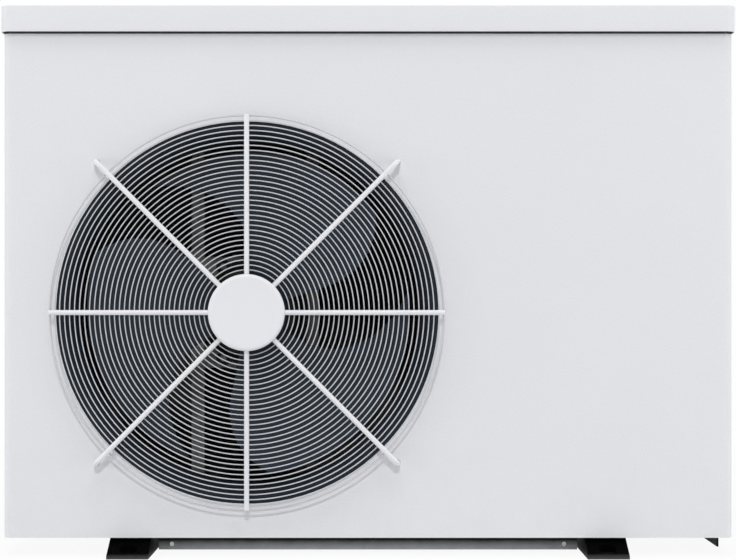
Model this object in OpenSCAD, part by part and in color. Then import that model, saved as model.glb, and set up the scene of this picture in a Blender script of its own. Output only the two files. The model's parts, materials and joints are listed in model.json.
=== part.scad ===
// Air-source pool heat pump unit. Millimetres, Z up, front towards -Y.
// Origin: centre of the four anchor holes, on the floor.

/* [Casing] */
// Width over the side panels
body_w = 858; // [840:2:900]
// Depth over the front and rear panels
body_d = 330; // [320:2:380]
// Height of the front panel
panel_h = 593; // [580:1:700]
// Sheet thickness of the casing
sheet = 1.2; // [0.8:0.1:1.6]
// Outer radius of the vertical folds
fold_r = 9; // [6:0.5:14]
// Height of the top cover
lid_h = 30; // [24:1:40]
// Overhang of the top cover at the sides and the back
lid_over = 3; // [2:0.5:6]
// Overhang of the top cover at the front
lid_front = 7; // [3:0.5:10]
// Dark line between panel and top cover
lid_gap = 2.5; // [1.5:0.5:5]

/* [Feet] */
// Height of the foot rails
foot_h = 22; // [20:1:30]
// Width of a foot rail
foot_w = 48.6; // [40:0.2:70]
// Middle of each foot rail, in from the side of the casing
foot_inset = 149; // [119:1:189]
// Spacing of the anchor holes along a rail
anchor_span = 360; // [350:2:400]
// Radius of an anchor hole
anchor_r = 5; // [4:0.5:7]

/* [Fan] */
// Fan axis, left of the middle
fan_x = -142; // [-170:1:-130]
// Height of the fan axis above the floor
fan_z = 287; // [280:1:330]
// Radius of the round opening in the front panel
mouth_r = 225; // [215:1:232]
// Radius over the blade tips
fan_r = 193; // [170:1:196]
// Radius of the fan hub
hub_r = 46; // [40:1:52]
// Blades on the hub
blades = 3; // [3:1:5]
// Blade depth along the axis at the root
blade_root_d = 40; // [30:1:44]
// Blade depth along the axis at the tip
blade_tip_d = 60; // [40:1:64]
// Radius of the fan shaft
shaft_r = 5; // [4:0.5:6]

/* [Wire guard] */
// Rings in the guard
rings = 32; // [20:1:36]
// Radius of the innermost ring
ring_r0 = 50; // [46:1:60]
// How far the outermost ring lies past the opening
ring_past = 6; // [0:1:9]
// Thickness of the ring wire
ring_wire = 1.4; // [1.2:0.1:2.4]
// Thickness of the spoke rods
spoke_d = 6; // [4:0.5:7]
// How far the long diagonal spokes reach past the opening
leg_past = 25; // [21:1:31]
// Distance from the panel to the spoke centres
guard_gap = 14; // [12:0.5:16]
// Radius of the bare centre disc
disc_r = 45; // [40:1:48]

/* [Water side] */
// Pipe radius that the union tails take
pipe_r = 25; // [25:0.5:26]
// Depth of a union socket
socket_d = 30; // [26:1:31]
// Outer radius of the condensate drain
drain_r = 8; // [6:0.5:10]
// Height of the water inlet
inlet_z = 110; // [100:1:130]
// Height of the water outlet
outlet_z = 310; // [290:1:312]

/* [Controls] */
// Middle of the control panel, from front to back
ctrl_y = 45; // [41:1:49]
// Height of the middle of the control panel
ctrl_z = 545; // [540:1:548]
// How far a key stands out of its frame
key_proud = 1.5; // [1.2:0.1:1.9]

/* [Clearances] */
// Gap between pieces that are only laid together
seat = 0.3; // [0.2:0.05:0.5]
// Radial clearance of a running fit
run = 0.05; // [0.02:0.01:0.09]
// Overlap of welded wires
weld = 0.25; // [0.2:0.05:0.4]

/* [Hidden] */
$fn = 72;

// Planes of the casing
front_y = -body_d / 2;
rear_y = body_d / 2;
side_x = body_w / 2;
panel_z0 = foot_h;
panel_z1 = foot_h + panel_h;
lid_z0 = panel_z1 + lid_gap;
lid_z1 = lid_z0 + lid_h;
tongue_in = 6;
tongue_z1 = lid_z1 - sheet - seat;
return_d = 30;
slot_p = 14;
slot_n = floor((body_d - 78) / slot_p);
pan_t = 1.5;
pan_rim = 20;
foot_span = body_w - 2 * foot_inset;
rail_y = front_y + 45;
rail_screw_r = 2.6;
pan_top = foot_h + pan_t;
pan_y = rear_y - sheet - seat;
room_w = 277;
wall_x = side_x - room_w;

// Connection plate on the right and its window in the side panel
plate_t = 2;
plate_x = side_x - 9;
plate_y0 = front_y + 56;
plate_z0 = 5;
win_edge = 2;
win_y0 = 20;
win_y1 = 146;
win_z0 = inlet_z - 62;
win_z1 = outlet_z + 132;
pan_x0 = -side_x + sheet + seat;
pan_x1 = plate_x - seat;

// Fan and bellmouth
throat_r = fan_r + 11;
bell_t = 2.5;
leg_reach = mouth_r + leg_past;
flange_r = leg_reach - 9;
bell_y0 = front_y + sheet;
bell_y1 = bell_y0 + 66;
blade_y = front_y + 44;
hub_y0 = blade_y - 25;
hub_y1 = blade_y + 25;
motor_r = 60;
motor_y0 = hub_y1 + 12;
motor_y1 = motor_y0 + 86;
lug_r = 72;
lug_z = lug_r * 0.8;
strap_t = 2;
strap_h = 24;
rail_w = 16;
rail_d = 20;

// Wire guard
ring_r1 = mouth_r + ring_past;
spoke_y = front_y - guard_gap;
ring_y = spoke_y + spoke_d / 2 + ring_wire / 2 - weld;
disc_y = spoke_y - spoke_d / 2;
hub_plate_t = 2;
hub_plate_r = disc_r - 7;
leg_bend = 6;
stud_y1 = front_y + 12;

// Evaporator
coil_t = 36;
coil_y = rear_y - 8 - coil_t / 2;
coil_x = -side_x + 10 + coil_t / 2;
coil_r = 40;
coil_leg = coil_y - coil_r - bell_y1 - 8;
coil_arc = coil_r * PI / 2;
coil_end = wall_x - 2;
coil_back = coil_end - coil_x - coil_r;
coil_z0 = pan_top + 18;
coil_z1 = panel_z1 - 10;
bend_p = 50.8;
bend_z0 = coil_z0 + 30;
bend_n = floor((coil_z1 - bend_z0 - 20) / bend_p);
gas_z = bend_z0 + 5 * bend_p + 38.1;
liquid_z = gas_z + bend_p;

// Compressor room
comp_in = 189;
comp = [side_x - comp_in, -70];
comp_r = 58;
comp_z0 = pan_top + 30;
comp_z1 = comp_z0 + 284;
foot_reach = 76;
acc_in = 89;
acc = [side_x - acc_in, -95];
acc_z1 = 262;
valve = [comp[0], -10, 430];
valve_p = 30;
loop_z = valve[2] + 52;
suction_z = valve[2] - 54;
heater_z = valve[2] - 41;
exch_in = 111;
exch = [side_x - exch_in, rear_y - 80];
exch_r = 72;
exch_wall = 5;
skirt = 8;
exch_z0 = pan_top;
exch_z1 = 366;
cap_t = 8;
coil_turn_r = 48;
coil_turns = 7;
tube_r = 6;
stub_r = 29;
collar_r = 33;
collar_x0 = plate_x + plate_t + 0.5;
collar_x1 = side_x + 2.7;
tail_t = 4.5;
tail_x1 = collar_x1 + seat + 3 + socket_d;
nut_r = 41;
nut_lip = 5;
nut_x0 = plate_x + plate_t + 1;
nut_x1 = collar_x1 + seat + nut_lip + 0.4;
switch_x = side_x - 25;
drain_y = 60;

// Electrical parts
box_y = -140;
box_d = 250;
box_z0 = 505;
box_z1 = panel_z1 - 12;
sink_w = 110;
sink_h = 86;
bezel_w = 150;
bezel_h = 96;
bezel_x1 = side_x + 6;
hinge_x = bezel_x1 + 3.5;
hinge_z = ctrl_z + bezel_h / 2 - 8;
key_r = 6;
key_gap = 26;
cover_t = 3;
cover_y0 = front_y + 37;
cover_w = ctrl_y - bezel_w / 2 - 14 - cover_y0;
cover_z0 = 480;
cover_h = 112;
cover_lip = 12;
gland_r = 8;

// Colours
white = [0.88, 0.89, 0.91];
black = [0.06, 0.06, 0.07];
slate = [0.17, 0.18, 0.2];
zinc = [0.62, 0.64, 0.66];
copper = [0.72, 0.42, 0.26];

// Helpers
module along_y(y) translate([0, y, 0]) rotate([-90, 0, 0]) children();
module along_x(x) translate([x, 0, 0]) rotate([0, 90, 0]) children();
module at_fan() translate([fan_x, 0, fan_z]) children();

module rounded(w, d, r) {
  square([w - 2 * r, d], center = true);
  square([w, d - 2 * r], center = true);
  for (x = [-1, 1], y = [-1, 1]) translate([x * (w / 2 - r), y * (d / 2 - r)]) circle(r);
}

module ring2d(w, d, r, t) {
  difference() {
    rounded(w, d, r);
    rounded(w - 2 * t, d - 2 * t, r - t);
  }
}

module window2d(x0, x1, y0, y1) translate([x0, y0]) square([x1 - x0, y1 - y0]);

// A stretch of the folded casing wall with the stepped tongue under the top cover
module casing(x0, x1, y0, y1) {
  translate([0, 0, panel_z0]) linear_extrude(panel_h) intersection() {
    ring2d(body_w, body_d, fold_r, sheet);
    window2d(x0, x1, y0, y1);
  }
  translate([0, 0, panel_z1 - sheet]) linear_extrude(sheet) intersection() {
    ring2d(body_w, body_d, fold_r, tongue_in + sheet);
    window2d(x0, x1, y0, y1);
  }
  translate([0, 0, panel_z1 - sheet]) linear_extrude(tongue_z1 - panel_z1 + sheet) intersection() {
    ring2d(body_w - 2 * tongue_in, body_d - 2 * tongue_in, fold_r - tongue_in, sheet);
    window2d(x0, x1, y0, y1);
  }
}

module pan_screw(head_r = 4) {
  difference() {
    union() {
      cylinder(r = head_r, h = 2.2);
      translate([0, 0, -7]) cylinder(r = head_r / 2, h = 7);
    }
    translate([-head_r * 0.6, -0.5, 1.2]) cube([head_r * 1.2, 1, 2]);
    translate([-0.5, -head_r * 0.6, 1.2]) cube([1, head_r * 1.2, 2]);
  }
}

// Tube swept along a route with rounded corners
function unit(v) = v / norm(v);
function arc_points(a, b, c, r, n) =
  let (u = unit(a - b), v = unit(c - b), w = acos(u * v), t = r / tan(w / 2))
  let (m = b + unit(u + v) * (r / sin(w / 2)), s = b + u * t - m, e = b + v * t - m, g = 180 - w)
  [for (i = [0:n]) m + (sin((1 - i / n) * g) * s + sin(i / n * g) * e) / sin(g)];
function route(p, r, n = 5) = concat([p[0]],
  [for (i = [1:len(p) - 2]) each arc_points(p[i - 1], p[i], p[i + 1], r, n)], [p[len(p) - 1]]);
function tangents(p) = [for (i = [0:len(p) - 1])
  unit(p[min(i + 1, len(p) - 1)] - p[max(i - 1, 0)])];
function across(n, t) = unit(n - (n * t) * t);
function first_side(t) = across(abs(t[2]) > 0.9 ? [1, 0, 0] : [0, 0, 1], t);

module tube(p, r, sides = 10) {
  t = tangents(p);
  last = len(p) - 1;
  n = [for (i = 0, v = first_side(t[0]); i <= last; i = i + 1,
    v = across(v, t[min(i, last)])) v];
  points = [for (i = [0:last], k = [0:sides - 1])
    p[i] + r * (cos(k * 360 / sides) * n[i] + sin(k * 360 / sides) * cross(t[i], n[i]))];
  walls = [for (i = [0:last - 1], k = [0:sides - 1]) let (m = (k + 1) % sides)
    [i * sides + k, (i + 1) * sides + k, (i + 1) * sides + m, i * sides + m]];
  polyhedron(points, concat([[for (k = [0:sides - 1]) k]], walls,
    [[for (k = [sides - 1:-1:0]) last * sides + k]]));
}

// Casing and frame
module base_pan() {
  w = pan_x1 - pan_x0;
  color(zinc) difference() {
    translate([(pan_x0 + pan_x1) / 2, 0, 0]) difference() {
      translate([0, 0, foot_h]) linear_extrude(pan_rim) rounded(w, 2 * pan_y, 7);
      translate([0, 0, pan_top]) linear_extrude(pan_rim)
        rounded(w - 2 * pan_t, 2 * pan_y - 2 * pan_t, 5.5);
    }
    foot_bolt_spots() translate([0, 0, -1]) cylinder(r = 3.3, h = 4);
    translate([fan_x, drain_y, foot_h - 1]) cylinder(r = drain_r + 1 + seat, h = 4);
  }
}

module foot_bolt_spots() for (x = [-1, 1], y = [-1, 1])
  translate([x * foot_span / 2, y * 100, foot_h]) children();

module foot(side) {
  toe = anchor_span / 2 + 15;
  ramp = 42;
  lip = 4;
  color(black) translate([side * foot_span / 2, 0, 0]) difference() {
    rotate([90, 0, 90]) translate([0, 0, -foot_w / 2]) linear_extrude(foot_w)
      polygon([[-toe, 0], [-toe, lip], [-toe + ramp, foot_h], [toe - ramp, foot_h], [toe, lip], [toe, 0]]);
    for (y = [-1, 1]) translate([0, y * anchor_span / 2, 0]) {
      translate([0, 0, -1]) cylinder(r = anchor_r, h = foot_h);
      translate([0, 0, lip + 2]) cylinder(r = 2 * anchor_r + 0.5, h = foot_h);
    }
    for (y = [-100, 100]) translate([0, y, -1]) cylinder(r = 3.3, h = foot_h + 2);
    for (k = [-2:2], x = [-1, 1]) translate([x * (foot_w / 4 - 1) - foot_w / 4 + 4, k * 56 - 23, -1])
      if (abs(k * 56) < 60 || abs(k * 56) > 130) cube([foot_w / 2 - 8, 46, foot_h - 4]);
  }
}

module foot_left() foot(-1);
module foot_right() foot(1);

module cross_rail() {
  half = (foot_span - foot_w) / 2 - 5;
  color(zinc) difference() {
    union() {
      translate([-half, rail_y, 3]) cube([2 * half, pan_t, foot_h - 3]);
      translate([-half, rail_y, foot_h - pan_t]) cube([2 * half, 26, pan_t]);
    }
    for (x = [-1, 1]) translate([x * (half - 16), 0, 10]) along_y(rail_y - 1)
      cylinder(r = rail_screw_r / 2 + seat, h = 4);
  }
}

module side_window(x, w, edge) translate([x, win_y0 - edge, win_z0 - edge])
  cube([w, win_y1 - win_y0 + 2 * edge, win_z1 - win_z0 + 2 * edge]);

module connection_plate() {
  color(black) difference() {
    union() {
      translate([plate_x, plate_y0, plate_z0])
        cube([plate_t, rear_y - 14 - plate_y0, win_z1 + 2 * win_edge - plate_z0]);
      side_window(plate_x, side_x - sheet - seat - plate_x, win_edge);
    }
    side_window(plate_x + plate_t, side_x - plate_x, 0);
    for (z = [inlet_z, outlet_z]) translate([0, exch[1], z]) along_x(plate_x - 1)
      cylinder(r = collar_r + 2, h = 6);
    gland_spots() along_x(plate_x - 1) cylinder(r = gland_r + seat, h = 6);
  }
}

module gland_spots() for (y = [-25, 25]) translate([0, exch[1] + y, (inlet_z + outlet_z) / 2])
  children();

module front_panel() {
  color(white) difference() {
    casing(-side_x, side_x, front_y, front_y + return_d);
    at_fan() along_y(front_y - 1) cylinder(r = mouth_r, h = 4, $fn = 180);
    leg_spots() along_y(front_y - 1) cylinder(r = spoke_d / 2 + 0.4, h = 4);
  }
}

module leg_spots() for (a = [45:90:315]) at_fan()
  translate([leg_reach * cos(a), 0, leg_reach * sin(a)]) children();

module bellmouth_ring() {
  n = 10;
  reach = 36;
  lip_r = mouth_r + 0.5;
  inner = [for (i = [0:n]) [lip_r - (lip_r - throat_r) * sin(i * 90 / n), reach * (1 - cos(i * 90 / n))]];
  outer = [for (i = [n:-1:0]) inner[i] + [bell_t, bell_t]];
  len = bell_y1 - bell_y0;
  color(slate) at_fan() along_y(bell_y0) rotate_extrude($fn = 180)
    polygon(concat(inner, [[throat_r, len], [throat_r + bell_t, len]], outer,
      [[flange_r, bell_t], [flange_r, 0]]));
}

module right_side_panel() {
  color(white) difference() {
    casing(side_x - return_d, side_x, front_y + return_d + 1, rear_y);
    side_window(side_x - 4, 8, 0);
    translate([side_x - 4, ctrl_y - bezel_w / 2 + 5, ctrl_z - bezel_h / 2 + 5])
      cube([8, bezel_w - 10, bezel_h - 10]);
    translate([side_x - 4, cover_y0 + cover_lip, cover_z0 + cover_lip])
      cube([8, cover_w - 2 * cover_lip, cover_h - 2 * cover_lip]);
    for (k = [0:8]) translate([side_x - 4, front_y + 45 + k * slot_p, 60]) cube([8, 5, 70]);
    cover_screw_spots() along_x(side_x - 4) cylinder(r = 1.5 + seat, h = 8);
  }
}

module left_side_panel() {
  color(white) difference() {
    casing(-side_x, -side_x + return_d, front_y + return_d + 1, rear_y);
    for (k = [0:slot_n - 1], r = [0:4]) translate([-side_x - 4, front_y + 49 + k * slot_p, 56 + r * 108])
      cube([8, 8, 96]);
  }
}

module rear_panel() {
  color(white) difference() {
    casing(wall_x + 6, side_x - return_d - 1, rear_y - return_d, rear_y);
    for (k = [0:11]) translate([wall_x + 50, rear_y - 4, 70 + k * 12]) cube([150, 8, 5]);
    rear_screw_spots() along_y(rear_y - 4) cylinder(r = 2 + seat, h = 8);
  }
}

module top_cover() {
  w = body_w + 2 * lid_over;
  d = body_d + lid_over + lid_front;
  mid_y = (lid_over - lid_front) / 2;
  color(white) translate([0, mid_y, lid_z0]) difference() {
    linear_extrude(lid_h) rounded(w, d, fold_r + lid_over);
    translate([0, 0, -sheet]) linear_extrude(lid_h)
      rounded(w - 2 * sheet, d - 2 * sheet, fold_r + lid_over - sheet);
    translate([0, -mid_y, -lid_z0]) lid_screw_spots() along_y(rear_y) cylinder(r = 1.5 + seat, h = 8);
  }
}

module partition_plate() {
  y0 = -pan_y + pan_t + seat;
  y1 = coil_y - coil_t / 2 - 2;
  top = panel_z1 - sheet - seat;
  color(zinc) difference() {
    union() {
      translate([wall_x, y0, pan_top]) cube([sheet, y1 - y0, top - pan_top]);
      translate([wall_x, y0, pan_top]) cube([8, y1 - y0, sheet]);
      translate([wall_x, y1 - sheet, pan_top]) cube([12, sheet, top - pan_top]);
    }
    translate([wall_x - 1, -100, box_z0 + 14]) cube([4, 90, 70]);
  }
}

module rear_screw_spots() for (x = [wall_x + 34, side_x - return_d - 12], z = [60, 320, 580])
  translate([x, 0, z]) children();
module lid_screw_spots() for (x = [-0.7, 0, 0.7]) translate([x * side_x, 0, lid_z0 + 12]) children();
module cover_screw_spots() for (y = [6, cover_w - 6], z = [6, cover_h - 6])
  translate([0, cover_y0 + y, cover_z0 + z]) children();

module casing_screws() {
  color(zinc) {
    rear_screw_spots() along_y(rear_y + 0.1) pan_screw();
    lid_screw_spots() along_y(rear_y + lid_over + 0.1) pan_screw(3);
    cover_screw_spots() along_x(side_x + cover_t + 0.1) pan_screw(3);
    for (x = [-1, 1]) translate([x * ((foot_span - foot_w) / 2 - 21), rail_y - 0.1, 10])
      rotate([90, 0, 0]) pan_screw(rail_screw_r);
  }
}

module base_bolts() {
  color(zinc) {
    foot_bolt_spots() {
      translate([0, 0, pan_t + 0.1]) cylinder(r = 6, h = 4.5, $fn = 6);
      translate([0, 0, -14]) cylinder(r = 3, h = 14 + pan_t + 0.2);
    }
    foot_spots() {
      translate([0, 0, pan_top]) cylinder(r = 4, h = comp_z0 + 26 - pan_top);
      translate([0, 0, comp_z0 + 18.1]) cylinder(r = 10, h = 1.5);
      translate([0, 0, comp_z0 + 19.5]) cylinder(r = 7.5, h = 5, $fn = 6);
    }
  }
}

// Fan, motor and wire guard
module guard_rings() {
  ring_p = (ring_r1 - ring_r0) / (rings - 1);
  color(white) at_fan() for (k = [0:rings - 1]) along_y(ring_y) rotate_extrude()
    translate([ring_r0 + k * ring_p, 0]) circle(d = ring_wire, $fn = 8);
}

module guard_spokes() {
  color(white) at_fan() union() {
    for (k = [0:7]) rotate([0, k * 45, 0]) translate([0, spoke_y, 0]) along_x(12)
      cylinder(d = spoke_d, h = (k % 2 == 0 ? ring_r1 + 1 : leg_reach - leg_bend) - 12);
    along_y(disc_y - hub_plate_t + weld) cylinder(r = hub_plate_r, h = hub_plate_t);
  }
}

module guard_legs() {
  color(white) for (a = [45:90:315]) at_fan() rotate([0, -a, 0]) {
    translate([leg_reach - leg_bend, spoke_y + leg_bend, 0]) rotate([0, 0, -90])
      rotate_extrude(angle = 90) translate([leg_bend, 0]) circle(d = spoke_d, $fn = 32);
    translate([leg_reach, 0, 0]) along_y(spoke_y + leg_bend)
      cylinder(d = spoke_d, h = stud_y1 - spoke_y - leg_bend, $fn = 32);
  }
}

module guard_nuts() {
  color(zinc) leg_spots() difference() {
    union() {
      along_y(front_y + sheet) cylinder(r = 7, h = 1.2);
      along_y(front_y + sheet + 1.1) cylinder(r = 5.8, h = 4.5, $fn = 6);
    }
    along_y(front_y) cylinder(d = spoke_d + 0.2, h = 10, $fn = 32);
  }
}

module guard_disc() {
  color(white) at_fan() difference() {
    along_y(disc_y - 7) rotate_extrude($fn = 120) polygon(concat([[0, 0]],
      [for (i = [0:6]) [disc_r - 4 + 4 * sin(i * 15), 4 - 4 * cos(i * 15)]],
      [[disc_r, 7 - seat], [0, 7 - seat]]));
    along_y(disc_y - hub_plate_t + weld) cylinder(r = hub_plate_r + seat, h = 4);
  }
}

// Angle of the trailing edge and of the leading edge of a blade at a radius
function trail_a(r) = 138 + 20 * pow(max(0, (r - 90) / (fan_r - 90)), 2.2);
function lead_a(r) = 211 + 37 * pow(max(0, (r - 75) / (fan_r - 75)), 1.6);
function blade_point(u, v, s) =
  let (r = hub_r - 2 + u * (fan_r - hub_r + 2), a = trail_a(r) + v * (lead_a(r) - trail_a(r)))
  let (d = blade_root_d + u * (blade_tip_d - blade_root_d))
  let (t = (3.4 - 1.2 * u) * (0.4 + 0.6 * sin(180 * v)), bow = 6 * sin(180 * v) * (0.5 + 0.5 * u) - 3)
  [r * cos(a), blade_y + d * (v - 0.5) + bow + s * t / 2, r * sin(a)];

module blade() {
  nu = 11;
  nv = 12;
  row = nv + 1;
  side = (nu + 1) * row;
  points = [for (s = [-1, 1], i = [0:nu], j = [0:nv]) blade_point(i / nu, j / nv, s)];
  front = [for (i = [0:nu - 1], j = [0:nv - 1]) let (c = i * row + j) each
    [[c, c + row + 1, c + row], [c, c + 1, c + row + 1]]];
  back = [for (f = front) [f[0] + side, f[2] + side, f[1] + side]];
  ends = [for (j = [0:nv - 1]) each [
    [j + side, j + 1 + side, j + 1, j],
    [nu * row + j + 1 + side, nu * row + j + side, nu * row + j, nu * row + j + 1]]];
  edges = [for (i = [0:nu - 1]) each [
    [(i + 1) * row + side, i * row + side, i * row, (i + 1) * row],
    [i * row + nv + side, (i + 1) * row + nv + side, (i + 1) * row + nv, i * row + nv]]];
  polyhedron(points, concat(front, back, ends, edges));
}

module fan_wheel() {
  wall = 3;
  color(slate) at_fan() {
    for (k = [0:blades - 1]) rotate([0, -k * 360 / blades, 0]) blade();
    difference() {
      union() {
        difference() {
          along_y(hub_y0) cylinder(r = hub_r, h = hub_y1 - hub_y0);
          along_y(hub_y0 + wall + 1) cylinder(r = hub_r - wall, h = hub_y1 - hub_y0);
        }
        along_y(hub_y0 + 1) cylinder(r = 13, h = hub_y1 - hub_y0);
        for (k = [0:5]) rotate([0, k * 60 + 12, 0]) translate([10, hub_y0 + 2, -1.2])
          cube([hub_r - 12, 34, 2.4]);
      }
      along_y(hub_y0 - 1) cylinder(r = shaft_r + 0.02, h = 80);
    }
  }
}

module fan_shaft() color(zinc) at_fan() along_y(hub_y0 - 9)
  cylinder(r = shaft_r, h = motor_y0 + 30 - hub_y0 + 9);

module fan_nut() {
  color(zinc) at_fan() difference() {
    union() {
      along_y(hub_y0 - 7.1) cylinder(r = 8.5, h = 5.6, $fn = 6);
      along_y(hub_y0 - 1.6) cylinder(r = 11, h = 1.5);
    }
    along_y(hub_y0 - 10) cylinder(r = shaft_r + 0.02, h = 12);
  }
}

module lug_spots() for (x = [-1, 1], z = [-1, 1]) at_fan()
  translate([x * lug_r * 0.55, 0, z * lug_z]) children();

module fan_motor() {
  len = motor_y1 - motor_y0;
  color(slate) difference() {
    union() {
      at_fan() along_y(motor_y0) rotate_extrude() polygon([[0, 0], [14, 0], [14, 6], [motor_r - 8, 6],
        [motor_r, 14], [motor_r, len - 4], [motor_r + 8, len - 4], [motor_r + 8, len], [0, len]]);
      lug_spots() along_y(motor_y1 - 4) cylinder(r = 9, h = 4);
    }
    at_fan() along_y(motor_y0 - 1) cylinder(r = shaft_r + run, h = 33);
    lug_spots() along_y(motor_y1 - 6) cylinder(r = 2.6, h = 8);
    for (k = [0:23]) at_fan() rotate([0, k * 15, 0]) translate([motor_r - 2, motor_y0 + 24, -2])
      cube([6, len - 40, 4]);
  }
}

module motor_bracket() {
  color(zinc) difference() {
    union() {
      for (x = [-1, 1]) translate([fan_x + x * lug_r - rail_w / 2, motor_y1 + strap_t, pan_top])
      difference() {
        cube([rail_w, rail_d, tongue_z1 - pan_top - 2]);
        translate([1.5, 1.5, -1]) cube([rail_w - 3, rail_d, tongue_z1]);
      }
      for (z = [-1, 1])
        translate([fan_x - lug_r - rail_w / 2, motor_y1, fan_z + z * lug_z - strap_h / 2])
          cube([2 * lug_r + rail_w, strap_t, strap_h]);
    }
    lug_spots() along_y(motor_y1 - 1) cylinder(r = 2.6, h = 4);
  }
}

module motor_screws() color(zinc) lug_spots() translate([0, motor_y1 - 4.1, 0])
  rotate([90, 0, 0]) pan_screw();

// Evaporator: a point at length s along the bent coil, off its middle line by o
function coil_point(s, o) =
  s < coil_leg ? [coil_x - o, coil_y - coil_r - coil_leg + s]
  : s < coil_leg + coil_arc ? let (a = 180 - (s - coil_leg) / coil_arc * 90)
    [coil_x + coil_r + (coil_r + o) * cos(a), coil_y - coil_r + (coil_r + o) * sin(a)]
  : [coil_x + coil_r + s - coil_leg - coil_arc, coil_y + o];

module evaporator_fins() {
  total = coil_leg + coil_arc + coil_back;
  n = floor(total / 6);
  p = total / n;
  t = p * 0.42;
  core = 5;
  color([0.8, 0.82, 0.84]) translate([0, 0, coil_z0]) linear_extrude(coil_z1 - coil_z0) polygon(concat(
    [for (i = [0:n - 1]) each [coil_point(i * p, coil_t / 2), coil_point(i * p + t, coil_t / 2),
      coil_point(i * p + t, core), coil_point(i * p + p, core)]],
    [for (i = [n - 1:-1:0]) each [coil_point(i * p + p, -core), coil_point(i * p + t, -core),
      coil_point(i * p + t, -coil_t / 2), coil_point(i * p, -coil_t / 2)]]));
}

module evaporator_bends() {
  color(copper) for (k = [0:bend_n - 1], y = [-1, 1])
    translate([wall_x + seat, coil_y + y * 10, bend_z0 + k * bend_p + 12.7]) {
      rotate([90, 0, 0]) translate([8, 0, 0]) rotate([0, 0, -90]) rotate_extrude(angle = 180)
        translate([12.7, 0]) circle(r = 4.8, $fn = 32);
      for (z = [-12.7, 12.7]) translate([0, 0, z]) along_x(0) cylinder(r = 4.8, h = 8, $fn = 32);
    }
}

module evaporator_plates() {
  h = coil_z1 - pan_top - 2;
  color(zinc) {
    translate([coil_end, coil_y - coil_t / 2, pan_top]) cube([2, coil_t, h]);
    translate([coil_x - coil_t / 2, coil_y - coil_r - coil_leg - 2, pan_top]) cube([coil_t, 2, h]);
    translate([coil_x + coil_r, coil_y - 16, pan_top]) cube([coil_back - 0.1, 32, coil_z0 - pan_top]);
  }
}

module coil_guard() {
  x0 = -side_x + return_d - 14;
  x1 = wall_x + 20;
  n = 18;
  z0 = foot_h + pan_rim + 2;
  tall = coil_z1 - z0;
  color(black) union() {
    for (k = [0:n]) translate([x0 + 20 + k * (x1 - x0 - 40) / n, rear_y - 1.05, z0])
      cylinder(r = 1.5, h = tall, $fn = 24);
    for (k = [0:5]) translate([0, rear_y + seat + 2, z0 + 14 + k * (tall - 28) / 5]) along_x(x0)
      cylinder(r = 2, h = x1 - x0, $fn = 24);
  }
}

// Refrigerant circuit
module foot_spots() for (a = [90:120:330])
  translate([comp[0] + foot_reach * cos(a), comp[1] + foot_reach * sin(a), 0]) children();

// Pressed can with bowed ends of height d
module can_solid(r, z0, z1, d) {
  bow = [for (i = [1:6]) [r * sin(i * 15), d * (1 - cos(i * 15) / cos(15))]];
  rotate_extrude() polygon(concat([[0, z0]], [for (p = bow) [p[0], z0 + p[1]]],
    [for (i = [len(bow) - 1:-1:0]) [bow[i][0], z1 - bow[i][1]]], [[0, z1]]));
}

module compressor() {
  arm_w = 26;
  color(black) {
    translate(comp) can_solid(comp_r, comp_z0 + 2, comp_z1, 24);
    translate([0, 0, comp_z0 + 8]) linear_extrude(4) difference() {
      union() {
        translate(comp) circle(comp_r - 8);
        for (a = [90:120:330]) translate(comp) rotate(a) translate([30, -arm_w / 2])
          square([foot_reach - 30, arm_w]);
        foot_spots() circle(17);
      }
      foot_spots() circle(8);
    }
  }
}

module compressor_grommets() {
  color([0.1, 0.1, 0.1]) foot_spots() difference() {
    union() {
      translate([0, 0, pan_top]) cylinder(r = 13, h = comp_z0 + 8 - seat - pan_top);
      translate([0, 0, pan_top]) cylinder(r = 7.6, h = comp_z0 + 18 - pan_top);
    }
    translate([0, 0, pan_top - 1]) cylinder(r = 4.2, h = 60);
  }
}

module accumulator() {
  strap_x = comp[0] + sqrt(pow(comp_r, 2) - pow(acc[1] + 13 - comp[1], 2)) + seat;
  color(black) {
    translate(acc) can_solid(30, 74, acc_z1, 14);
    translate([strap_x, acc[1] + 8, 150]) cube([acc[0] - 28 - strap_x, 5, 24]);
  }
}

module reversing_valve() {
  color(copper) translate(valve) {
    along_x(-58) cylinder(r = 16, h = 116);
    translate([0, 0, 12]) cylinder(r = 7, h = 18);
    for (x = [-1:1]) translate([x * valve_p, 0, -30]) cylinder(r = 8, h = 18);
    translate([0, -26, 0]) along_x(-22) cylinder(r = 7, h = 44);
    translate([-10, -24, -4]) cube([20, 12, 8]);
  }
}

module valve_coils() {
  color(black) {
    translate([valve[0] + 22.3, valve[1] - 42, valve[2] - 15]) cube([26, 24, 30]);
    translate([valve[0], exch[1], liquid_z + 20.3]) cylinder(r = 20, h = 30);
  }
}

module expansion_valve() {
  color(zinc) translate([valve[0], exch[1], liquid_z]) {
    translate([0, 0, -16]) cylinder(r = 11, h = 36);
    along_x(-20) cylinder(r = 6, h = 40);
  }
}

module discharge_pipe() color(copper) tube(route([[comp[0], comp[1], comp_z1 + 0.1],
  [comp[0], comp[1], loop_z], [valve[0], valve[1], loop_z], [valve[0], valve[1], valve[2] + 30.1]], 16), 5);

module suction_pipe() color(copper) tube(route([[valve[0], valve[1], valve[2] - 30.1],
  [valve[0], valve[1], suction_z], [acc[0], valve[1], suction_z], [acc[0], acc[1], suction_z],
  [acc[0], acc[1], acc_z1 + 0.1]], 12), tube_r);

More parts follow.
